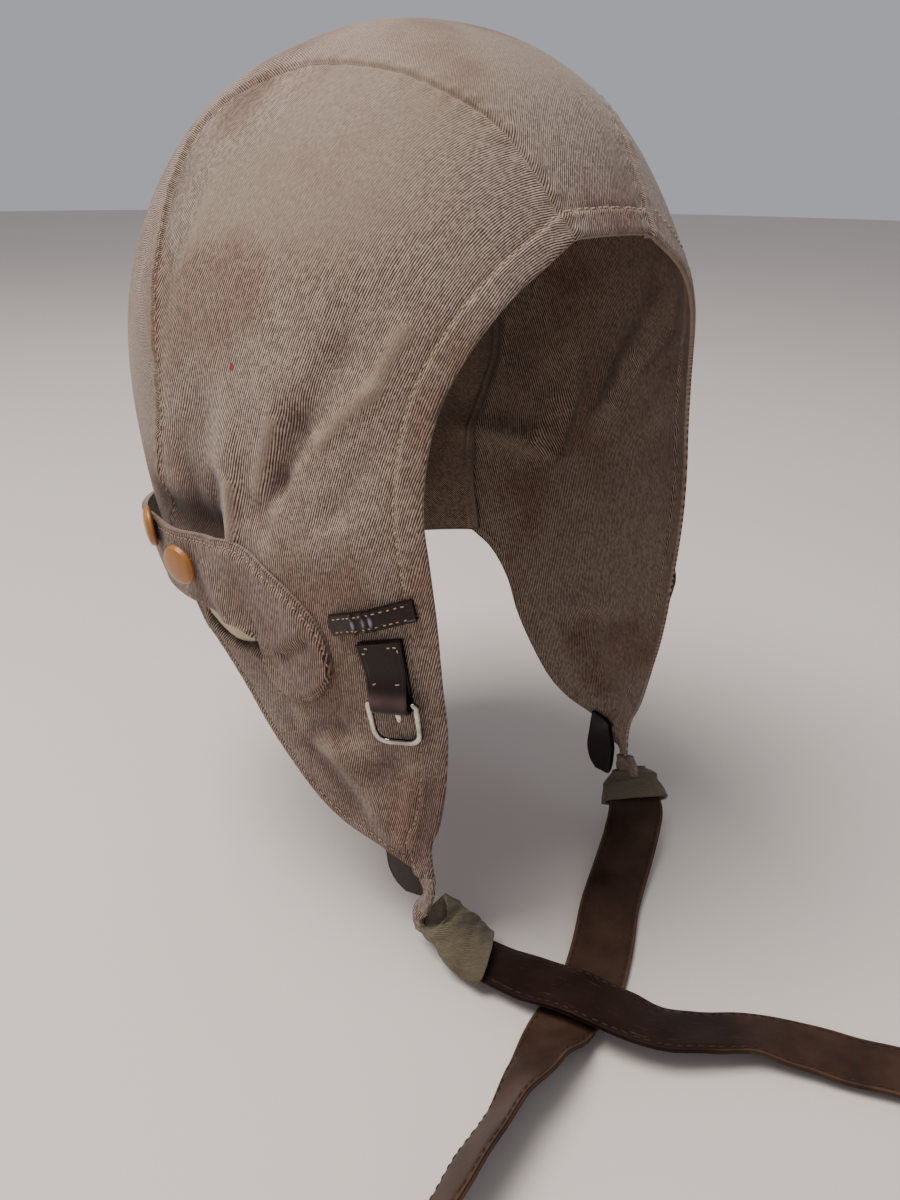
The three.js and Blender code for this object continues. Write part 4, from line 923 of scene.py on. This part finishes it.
def lathe(profile, axis_at, axis, sides=64):
    """A turned piece: each (radius, height) of the profile is carried round the axis, and its
    first and last rings are filled."""
    axis = unit(axis)
    first = unit(np.cross(axis, [0.0, 0.0, 1.0]))
    turn = np.linspace(0, 2 * np.pi, sides, endpoint=False)
    round_way = np.cos(turn)[:, None] * first + np.sin(turn)[:, None] * np.cross(axis, first)
    radius, height = np.asarray(profile).T
    points = axis_at + radius[:, None, None] * round_way + (height[:, None] * axis)[:, None]
    return points.reshape(-1, 3), tube_faces(len(radius), sides)


rim_profile = np.array([[0.90, 0.0], [0.985, 0.25], [1.0, 0.75], [0.985, 1.2], [0.95, 1.5]])
dome = np.linspace(0, 1, 22) * math.pi / 2
dome_profile = np.vstack([rim_profile * [stud_radius, 1], np.column_stack([
    stud_radius * 0.93 * np.cos(dome) + 0.02, stud_rim + (stud_height - stud_rim) * np.sin(dome)])])
for side, sign in both_sides:
    for number, (along, down, lean) in enumerate(stud_rows, 1):
        ends = [curve_by_row(edge, [along * last_row]) for edge in (upper_edge, lower_edge)]
        place = settle(ends[0] * (1 - down) + ends[1] * down) * [sign, 1, 1]
        lift = stand_off(along, down, side) + doubled_wall + stud_seat + stud_radius * max(lean, 0)
        seat = dressed(place, lift, fold_rows)[0]
        points, faces = lathe(dome_profile, seat, outward(place)[0] - [0, lean, 0])
        add_mesh(f"enamel_stud_{side}_{number}", points, faces, points[:, :2], enamel, "enamel",
                 [f"stud_cap_{side}_{number}"])


# Keeper strips: a near-black leather strip stitched across each flap. It rises where the buckle
# tab passes under it, and three creases there carry painted bluish-white highlights.
keeper_rows = np.array([[0, -41.2, -145.3], [0, -53.5, -140.0], [0, -64.8, -135.5]])
keeper_width, keeper_lift, keeper_rise, leather_wall = 6.0, 0.7, 1.5, 1.6
keeper_length, keeper_lean = 28.0, -1.0
keeper_creases = ((0.37, 1.0), (0.50, 0.8), (0.58, 1.0))  # share along, height


def leather_look(dark, brown, scuff_and_highlight, pebble=900.0, gloss=0.22):
    """Polished leather: a fine pebble, long soft scratches, and a second colour where the mark of
    wear and painted light is: brown scuffs on most pieces, and a painted highlight on the
    keeper's creases.
    """
    def varied(wire):
        u, v, _ = wire.apart(wire.node("ShaderNodeUVMap", {"uv_map": "cloth"}))
        place = wire.node("ShaderNodeTexCoord", out=3)
        grain = wire.node("ShaderNodeTexVoronoi", {"feature": "SMOOTH_F1"},
                          {"Vector": place, "Scale": pebble})
        cloud = wire.noise(place, 70.0, 3.0, 0.6)
        scratch = wire.noise(wire.joined(u * 1.6, v * 0.12), 1.0, 4.0, 0.65).rise(0.56, 0.72)
        wear = wire.node("ShaderNodeAttribute", {"attribute_name": "wear"}, out=2)
        worn_and_highlit = wear.higher(scratch * 0.5) * (0.4 + cloud)
        colour = worn_and_highlit.rise(0.1, 0.95).mix(cloud.mix(dark, brown), scuff_and_highlight)
        return {"Base Color": colour, "Roughness": cloud * 0.18 + worn_and_highlit * gloss + 0.22,
                "Normal": wire.lift(grain * 0.5 + cloud * 0.5 + scratch * 0.3, 0.00015, 0.5)}
    return varied


dark_leather = new_finish("near_black_leather", {"Specular IOR Level": 0.2},
                          leather_look(rgb(17, 10, 9), rgb(36, 23, 21), rgb(96, 72, 70)))
# the keeper's leather: its second colour is a pale bluish painted highlight for the creases
creased_leather_painted_highlights = new_finish("creased_leather_painted_highlights", {"Specular IOR Level": 0.22},
                             leather_look(rgb(16, 10, 10), rgb(44, 28, 24), rgb(138, 136, 150),
                                          gloss=0.0))
tan_thread = new_finish("tan_thread", {"Roughness": 0.7},
                        thread_look(rgb(186, 156, 126), rgb(118, 88, 66)))
keeper_place = np.linspace(0, 1, 110)
keeper_across = np.linspace(0, 1, 17)
keeper_line = curve_at(keeper_rows, keeper_place)
keeper_y = keeper_line[:, 1:2] + keeper_across * keeper_lean
keeper_z = keeper_line[:, 2:3] - keeper_across * keeper_width
keeper_grid = beside_at(keeper_y, keeper_z)
keeper_arch = keeper_lift + keeper_rise * np.sin(np.pi * keeper_place[:, None]) ** 2
keeper_ridge = sum(tall * np.exp(-((keeper_place[:, None] - at) / 0.022) ** 2)
                   for at, tall in keeper_creases)
keeper_edge = 1 - np.abs(2 * keeper_across - 1)
keeper_groove = -0.22 * np.exp(-((keeper_edge - 0.34) / 0.08) ** 2)
keeper_face = keeper_arch + leather_wall + keeper_ridge * 0.6 + keeper_groove \
    - 0.45 * (1 - step(0, 0.16, keeper_edge)) \
    - 0.9 * (1 - step(0, 0.03, keeper_place[:, None])) * (1 - keeper_edge)
# painted highlight on the creases, brightest in the middle of the strip's width
keeper_painted_highlight = keeper_ridge * 0.95 * np.clip(keeper_edge * 1.6 - 0.4, 0, 1)
keeper_uv = np.stack(np.broadcast_arrays(keeper_across * keeper_width,
                                         keeper_length * keeper_place[:, None]), -1)
for side, sign in both_sides:
    places = keeper_grid * [sign, 1, 1]
    face = dressed(places, keeper_face, fold_rows)
    closed_shell("leather_keeper_" + side, face, dressed(places, keeper_arch, fold_rows),
                 keeper_uv, creased_leather_painted_highlights, "dark_leather", ["keeper_strip_" + side], rim=0.25,
                 marks={"wear": keeper_painted_highlight})
    rows = [(face[6:-6, k], outward(face[6:-6, k]), 2.1, 0.5, 0.2, 0.08, 20 + k) for k in (3, 13)]
    add_stitches("thread_keeper_" + side, rows, tan_thread, "dark_leather")


# Buckle tabs: a strap of the same leather on each flap, folded round the buckle's wire, with its
# two layers sewn together by a box of stitches.
tab_top, tab_fall = np.array([-56.0, -149.2]), np.array([-1.9, -18.3])
tab_taper, tab_shear, tab_lift, tab_width, tab_layers = 0.80, 0.12, 0.8, 14.0, 2.4
ply, loop_outer, wire_radius = 1.15, 2.8, 0.9
parted = 10  # the two layers part this far above the fold
tab_ends = beside_at(np.array([tab_top[0], tab_top[0] + tab_fall[0]]),
                     np.array([tab_top[1], tab_top[1] + tab_fall[1]]))
tab_length = np.linalg.norm(tab_ends[1] - tab_ends[0])
tab_down = (tab_ends[1] - tab_ends[0]) / tab_length
tab_out = outward(tab_ends.mean(0))
tab_out = unit(tab_out - tab_down * (tab_out @ tab_down))
tab_across = np.cross(tab_out, tab_down)
wire_out = tab_lift + loop_outer


def in_tab(down, across, out):
    """Points in the tab's own frame: down from its top, across to the face, out from the cloth."""
    down, across, out = np.broadcast_arrays(down, across, out)
    return tab_ends[0] + down[..., None] * tab_down + across[..., None] * tab_across \
        + out[..., None] * tab_out


def on_tab(down, across, out):
    """Points on the tab, which narrows towards its fold and whose top edge runs aslant."""
    share = np.clip(down / tab_length, 0, 1)
    across = across * (1 + (tab_taper - 1) * share)
    return in_tab(down - tab_shear * across * (1 - share), across, out)


loop_turn = np.linspace(-np.pi / 2, np.pi * 0.36, 30)
loop_middle = loop_outer - ply / 2
under_ply = np.column_stack([np.linspace(0, tab_length, 40), np.full(40, tab_lift + ply / 2)])
round_wire = np.column_stack([tab_length + loop_middle * np.cos(loop_turn),
                              wire_out + loop_middle * np.sin(loop_turn)])
back_down = np.linspace(0, 1, 24)[1:, None]
wire_end, top_out = round_wire[-1], tab_lift + tab_layers - ply / 2
swell = np.hstack([wire_end[0] + (tab_length - parted - wire_end[0]) * back_down,
                   wire_end[1] + (top_out - wire_end[1]) * step(0, 1, back_down)])
top_ply = np.column_stack([np.linspace(tab_length - parted, 0.0, 40)[1:], np.full(39, top_out)])
folded = np.vstack([under_ply[:-1], round_wire, swell, top_ply])
folded_way = unit(np.gradient(folded, axis=0))
folded_out = np.column_stack([folded_way[:, 1], -folded_way[:, 0]])
tab_share = np.concatenate([np.linspace(-1, -0.86, 5)[:-1], np.linspace(-0.86, 0.86, 25),
                            np.linspace(0.86, 1, 5)[1:]])
tab_edge = -0.35 * step(0.88, 1, np.abs(tab_share))
on_top = np.clip((np.arange(len(folded)) - 60) / 20, 0, 1)[:, None]  # from the wire's far side
box_groove = -0.16 * np.exp(-((np.abs(tab_share) - 0.82) / 0.05) ** 2) * on_top
half_ply = ply / 2 + tab_edge + box_groove
tab_faces_out = [folded[:, None] + folded_out[:, None] * (k * half_ply)[..., None]
                 for k in (1, -1)]
tab_uv = np.stack(np.broadcast_arrays(tab_share * tab_width / 2, run_of(folded)[:, None]), -1)
tab_wear = 0.8 * np.exp(-((folded[:, :1] - tab_length + 1) / 3.0) ** 2) * on_top
top_side = folded[75:]  # the top layer, whose height the stitches follow
tab_seams = (  # from (down, across share) to (down, across share), and the pitch
    (((1.2, -0.84), (1.2, -0.40)), 1.6), (((2.8, -0.84), (2.8, -0.55)), 1.6),
    (((1.4, 0.30), (1.4, 0.84)), 1.6), (((1.0, 0.84), (4.0, 0.84)), 1.6),
    (((12.2, -0.84), (12.2, -0.30)), 2.2), (((12.2, 0.45), (12.2, 0.84)), 2.2))
for side, sign in both_sides:
    mirror = np.array([sign, 1, 1])
    walls = [on_tab(face[..., 0], tab_share * tab_width / 2, face[..., 1]) * mirror
             for face in tab_faces_out]
    closed_shell("leather_tab_" + side, *walls, tab_uv, dark_leather, "dark_leather",
                 ["buckle_tab_" + side], rim=0.12, marks={"wear": tab_wear})
    rows = []
    for number, (ends, pitch) in enumerate(tab_seams):
        places = np.linspace(*ends, 30)
        height = np.interp(-places[:, 0], -top_side[:, 0], top_side[:, 1]) + ply / 2 - 0.06
        line = on_tab(places[:, 0], places[:, 1] * tab_width / 2, height) * mirror
        rows.append((line, np.broadcast_to(tab_out * mirror, line.shape), pitch, 0.62, 0.22, 0.12,
                     30 + number))
    add_stitches("thread_tab_" + side, rows, tan_thread, "dark_leather")


# Buckle frames and prongs: a nickelled wire bent to a rounded trapezoid, whose bar runs in the
# fold of the tab, and the short end of the prong just below the fold.
frame_depth, frame_lean = 14.2, 1.8
frame_corners = np.array([  # down, across, corner radius
    [0, -7.3, 1.2], [0, 7.5, 1.4], [frame_depth, 5.2, 4.4], [frame_depth, -8.8, 4.4]])


def nickel_look(wire):
    """Nickel: a cloudy film darkens it, a mark paints the sides of the wire dark as a painted
    reflection so that its outer face stands bright, and pits roughen it.
    """
    place = wire.node("ShaderNodeTexCoord", out=3)
    film, pit = wire.noise(place, 180.0, 3.0, 0.6), wire.noise(place, 1600.0, 2.0)
    painted_dark_reflection = wire.node("ShaderNodeAttribute", {"attribute_name": "painted_dark_reflection"}, out=2)
    colour = (film.rise(0.38, 0.66) * 0.5 + painted_dark_reflection * 0.75).mix(rgb(200, 196, 188), rgb(56, 49, 43))
    return {"Base Color": colour, "Roughness": film * 0.12 + pit * 0.06 + 0.03,
            "Normal": wire.lift(pit * 0.5 + film * 0.5, 0.00005, 0.6)}


nickel = new_finish("worn_nickel", {"Metallic": 1.0}, nickel_look)


def flattened(wave, power):
    """A sine or cosine raised to a power below 1 with its sign kept, which squares a section."""
    return np.sign(wave) * np.abs(wave) ** power


def ring_faces(index):
    """Four-sided faces of a grid of point numbers that closes on itself both ways."""
    below = np.roll(index, -1, 0)
    return np.stack([index, below, np.roll(below, -1, 1), np.roll(index, -1, 1)], -1).reshape(-1, 4)


def frame_path():
    """The wire's middle line, down and across: each corner is a quadratic curve between points set
    back from it, and each straight runs to the next corner. Its lean towards the cloth is added
    with the wire's height."""
    path = []
    for k, (down, across, radius) in enumerate(frame_corners):
        here = np.array([down, across])
        before, after = frame_corners[k - 1, :2], frame_corners[(k + 1) % 4, :2]
        start = here + unit(before - here) * radius
        end = here + unit(after - here) * radius
        t = np.linspace(0, 1, 14)[:, None]
        path.append((1 - t) ** 2 * start + 2 * t * (1 - t) * here + t * t * end)
        following = after + unit(here - after) * frame_corners[(k + 1) % 4, 2]
        path.append(end + np.linspace(0, 1, 16)[1:-1, None] * (following - end))
    return np.vstack(path)


frame_line = frame_path()
frame_way = unit(np.roll(frame_line, -1, 0) - np.roll(frame_line, 1, 0))
frame_side = np.column_stack([frame_way[:, 1], -frame_way[:, 0]])
section = np.linspace(0, 2 * np.pi, 20, endpoint=False)
flat_cos, flat_sin = flattened(np.cos(section), 0.75), flattened(np.sin(section), 0.75)
wire_place = frame_line[:, None] + frame_side[:, None] * (wire_radius * flat_cos)[:, None]
wire_height = wire_out - frame_lean * frame_line[:, :1] / frame_depth + wire_radius * 0.8 * flat_sin
wire_points = in_tab(tab_length + wire_place[..., 0], wire_place[..., 1], wire_height)
wire_faces = ring_faces(np.arange(wire_height.size).reshape(wire_height.shape).T)
# painted dark reflection: 1 on the sides and the cloth side of the wire's section, 0 on its outer
# face
wire_painted_dark_reflection = np.tile(1 - step(0.3, 1.0, flat_sin), len(frame_line))
prong_start = in_tab(tab_length + loop_outer + 0.3, 1.0, wire_out - 0.6)  # just below the fold
prong_profile = [(0.02, 0.0), (0.6, 0.05), (0.88, 0.3), (0.9, 1.2), (0.85, 2.2), (0.74, 2.8),
                 (0.45, 3.12), (0.02, 3.2)]
for side, sign in both_sides:
    mirror = np.array([sign, 1, 1])
    points = wire_points.reshape(-1, 3) * mirror
    add_mesh("nickel_frame_" + side, points, wire_faces, points[:, :2], nickel, "nickel",
             ["buckle_frame_" + side], {"painted_dark_reflection": wire_painted_dark_reflection})
    points, faces = lathe(prong_profile, prong_start * mirror, tab_down * mirror, 20)
    add_mesh("nickel_prong_" + side, points, faces, points[:, :2], nickel, "nickel",
             ["buckle_prong_" + side])


# Strap tips: the dark leather end of each chin strap. It is sewn flat inside the cap's tail, and
# is seen past the tail's rear edge.
tip_rows = np.array([  # rear y, z and front y, z
    [-43.0, -226.0, -53.0, -227.0], [-43.2, -233.5, -56.0, -233.5], [-43.4, -239.5, -56.6, -239.0],
    [-45.7, -244.2, -56.4, -243.2], [-49.3, -246.6, -55.6, -245.6]])
tip_down = np.linspace(0, 4, 60)
tip_gap = 0.5
tip_rear = curve_by_row(beside_at(tip_rows[:, 0], tip_rows[:, 1]), tip_down)
tip_front = curve_by_row(beside_at(tip_rows[:, 2], tip_rows[:, 3]), tip_down)
tip_share = np.linspace(0, 1, 20)[:, None]
tip_grid = settle(tip_rear[:, None] * (1 - tip_share) + tip_front[:, None] * tip_share)
tip_lift = -(cloth_wall + leather_wall + tip_gap)
tip_uv = np.stack(np.broadcast_arrays(tip_share[:, 0] * 10, tip_down[:, None] * 7), -1)
for side, sign in both_sides:
    places = tip_grid * [sign, 1, 1]
    closed_shell("leather_tip_" + side, dressed(places, tip_lift + leather_wall, fold_rows),
                 dressed(places, tip_lift, fold_rows), tip_uv, dark_leather, "dark_leather",
                 ["strap_tip_" + side], rim=0.3, marks={"wear": 0.15})


# Strap sleeves: a turned tube of thinner twill from each tail down to its strap, crumpled where
# it bends, and open at both ends.
near_neck_rows = np.array([  # middle x, y, z, width direction, half width, half depth
    [-50.9, -59.3, -234.6, -0.12, 1.0, 0.0, 3.3, 1.3],
    [-50.9, -60.6, -240.0, 0.0, 1.0, 0.1, 2.1, 1.4],
    [-50.7, -57.4, -247.0, 0.0, 1.0, -0.2, 3.0, 1.4],
    [-50.4, -54.8, -253.2, 0.0, 1.0, -0.3, 2.2, 1.4],
    [-50.0, -55.8, -258.0, 0.0, 1.0, 0.2, 2.6, 1.3]])
near_sleeve_rows = np.array([
    [-48.2, -58.3, -248.4, 0.05, -0.1, 0.99, 9.0, 2.6],
    [-46.6, -64.4, -252.8, 0.45, 0.1, 0.8, 8.0, 3.2],
    [-44.9, -71.4, -257.0, 0.8, 0.4, 0.25, 9.6, 3.8],
    [-43.0, -77.3, -259.9, 0.87, 0.46, -0.17, 12.0, 4.1]])
far_neck_rows = np.array([
    [50.8, -60.2, -236.6, 0.12, 1.0, 0.0, 4.0, 1.9],
    [51.0, -62.0, -243.5, 0.0, 1.0, 0.0, 5.4, 2.2]])
far_sleeve_rows = np.array([
    [50.9, -61.9, -241.5, -0.5, 0.9, 0.0, 6.4, 2.6],
    [50.5, -63.7, -245.7, -0.7, 0.7, 0.0, 10.8, 3.9],
    [46.7, -68.6, -250.1, -0.75, 0.66, 0.0, 12.5, 4.2]])
sleeve_wall = 1.3
sleeve_twill = twill_finish("olive_twill", rgb(122, 112, 90), rgb(60, 52, 42), rgb(214, 196, 176),
                            rgb(206, 204, 180))


def ribbon_stations(rows, steps):
    """Middle line, direction and the other columns at even steps along the rows' curve. The
    columns ease from row to row, so that the width turns smoothly."""
    at = np.linspace(0, len(rows) - 1, 60 * (len(rows) - 1) + 1)
    run = run_of(curve_by_row(rows[:, :3], at))
    at = np.interp(np.linspace(0, run[-1], steps), run, at)
    line = curve_by_row(rows[:, :3], at)
    k = np.minimum(at.astype(int), len(rows) - 2)
    share = step(0, 1, at - k)[:, None]
    columns = rows[k, 3:] * (1 - share) + rows[k + 1, 3:] * share
    return line, unit(np.gradient(line, axis=0)), columns


def crumpled_tube(rows, seed, rough, slant=0.0, mouth=0.0):
    """Flattened tube: a ring's height is the square root of its sine, and waves that run round
    and along it crumple the cloth. Its far end is cut aslant, and its front wall is drawn back at
    the mouth."""
    line, way, columns = ribbon_stations(rows, 90)
    wide = unit(columns[:, :3] - way * (columns[:, :3] * way).sum(1, keepdims=True))
    deep = np.cross(way, wide)
    turn = np.linspace(0, 2 * np.pi, 72, endpoint=False)
    run = run_of(line)[:, None]
    crumple = 0.35 * np.sin(2 * turn + run / 2.1 + seed) \
        + 0.3 * np.sin(5 * turn - run / 1.7 + 2 * seed) \
        + 0.22 * np.sin(9 * turn + run / 0.9) + 0.2 * np.sin(run / 0.75 + 3 * np.sin(turn + seed))
    crumple = crumple * rough - 0.35
    cut = mouth * np.clip(1 - run / 9, 0, 1) ** 2 * np.maximum(np.sin(turn), 0) \
        - slant * (run / run[-1]) ** 2 * np.cos(turn)

    def rings(shrink):
        across = (columns[:, 3:4] - shrink + crumple) * np.cos(turn)
        height = (columns[:, 4:5] - shrink + crumple * 0.8) * flattened(np.sin(turn), 0.5)
        return line[:, None] + across[..., None] * wide[:, None] \
            + height[..., None] * deep[:, None] + cut[..., None] * way[:, None]

    tube = np.concatenate([rings(0), rings(sleeve_wall)[::-1]])
    faces = ring_faces(np.arange(len(tube) * len(turn)).reshape(-1, len(turn)))
    around = turn * columns[:, 3:4]
    uv = np.stack(np.broadcast_arrays(around * 0.8 + run * 0.6, run * 0.8 - around * 0.6), -1)
    return tube.reshape(-1, 3), faces, np.concatenate([uv, uv[::-1]]).reshape(-1, 2)


for side, seed, slant, mouth, neck_rows, tube_rows in (
        ("right", 0.4, 2.4, 6.0, near_neck_rows, near_sleeve_rows),
        ("left", 2.1, 0.0, 0.0, far_neck_rows, far_sleeve_rows)):
    add_mesh("cloth_sleeve_" + side, *crumpled_tube(tube_rows, seed, 0.55, slant, mouth),
             sleeve_twill, "twill", ["strap_sleeve_" + side], {"wear": 0.3})
    add_mesh("cloth_sleeve_neck_" + side, *crumpled_tube(neck_rows, seed, 0.3), twill, "twill",
             marks={"wear": -0.4})


# Chin straps: flat dark brown leather, 19 mm wide, soft and scuffed, with a row of stitches along
# each edge. The right one lies over the left one.
strap_width, strap_thickness = 19.0, 2.2
near_strap_rows = np.array([  # middle x, y, z, roll in degrees
    [-43.9, -75.4, -259.2, 10], [-42.1, -79.4, -260.6, 8], [-39.0, -92.3, -260.0, 4],
    [-35.8, -106.8, -257.4, 4], [-33.6, -120.5, -256.2, 6], [-28.6, -131.5, -257.8, 12],
    [-19.6, -140.2, -259.9, 15], [-9.2, -149.7, -260.9, 14], [-1.9, -161.5, -262.0, 8],
    [3.9, -173.6, -262.6, 5], [10.0, -185.1, -262.6, 5], [15.0, -194.5, -262.6, 5]])
far_strap_rows = np.array([
    [48.0, -67.2, -249.0, 0], [45.0, -70.6, -251.6, 0], [38.0, -74.4, -255.4, 0],
    [27.0, -79.2, -259.6, 0], [7.7, -87.8, -262.6, 0], [-10.7, -98.2, -263.3, 0],
    [-26.2, -105.4, -263.2, 0], [-44.6, -109.8, -261.7, -9], [-63.0, -114.7, -257.7, -36],
    [-80.3, -119.1, -256.2, -54], [-94.6, -122.1, -256.0, -54], [-108.4, -125.8, -256.0, -54],
    [-118.0, -128.4, -256.0, -54]])
strap_leather = new_finish("brown_strap_leather", {"Specular IOR Level": 0.06},
                           leather_look(rgb(21, 15, 14), rgb(46, 31, 25), rgb(100, 76, 60),
                                        pebble=700.0, gloss=0.4))
brown_thread = new_finish("brown_thread", {"Roughness": 0.8, "Specular IOR Level": 0.1},
                          thread_look(rgb(70, 50, 39), rgb(36, 25, 20)))


def strap(name, rows, node, seed, scuffed_from):
    """Ribbon: a thin rounded section rolled about the middle line, wavy by 0.26 mm, with a groove
    under each row of stitches. Past scuffed_from it is worn brown."""
    line, way, columns = ribbon_stations(rows, 360)
    level_way = unit(np.cross(way, [0.0, 0.0, 1.0]))
    lift_way = np.cross(level_way, way)
    roll = np.radians(columns[:, :1])
    wide = level_way * np.cos(roll) + lift_way * np.sin(roll)
    thick = unit(np.cross(wide, way))
    share = np.sin(np.linspace(-np.pi / 2, np.pi / 2, 33)) * 0.35 + np.linspace(-1, 1, 33) * 0.65
    run = run_of(line)[:, None]
    body = strap_thickness / 2 * (1 - 0.55 * np.abs(share) ** 7)
    groove = -0.16 * np.exp(-((np.abs(share) - 0.84) / 0.03) ** 2)
    wave = 0.16 * np.sin(run / 6.5 + 2 * share + seed) + 0.1 * np.sin(run / 2.9 + 4 * share)
    grids = [line[:, None] + wide[:, None] * (share * strap_width / 2)[:, None]
             + thick[:, None] * (k * (body + groove) + wave)[..., None] for k in (1, -1)]
    uv = np.stack(np.broadcast_arrays(share * strap_width / 2 + seed * 40, run), -1)
    wear = 0.25 * step(0.9, 0.98, np.abs(share)) \
        + 0.36 * step(scuffed_from, scuffed_from + 24, run)
    closed_shell(name, *grids, uv, strap_leather, "strap_leather", [node], rim=0.3,
                 marks={"wear": wear})
    stitches = [(grids[0][8:-8, column], thick[8:-8], 3.0, 0.66, 0.26, 0.10, 40 + column)
                for column in (3, 29)]
    add_stitches(name.replace("leather", "thread"), stitches, brown_thread, "strap_leather")


strap("leather_chin_strap_right", near_strap_rows, "chin_strap_right", 0.0, 66)
strap("leather_chin_strap_left", far_strap_rows, "chin_strap_left", 1.3, -30)
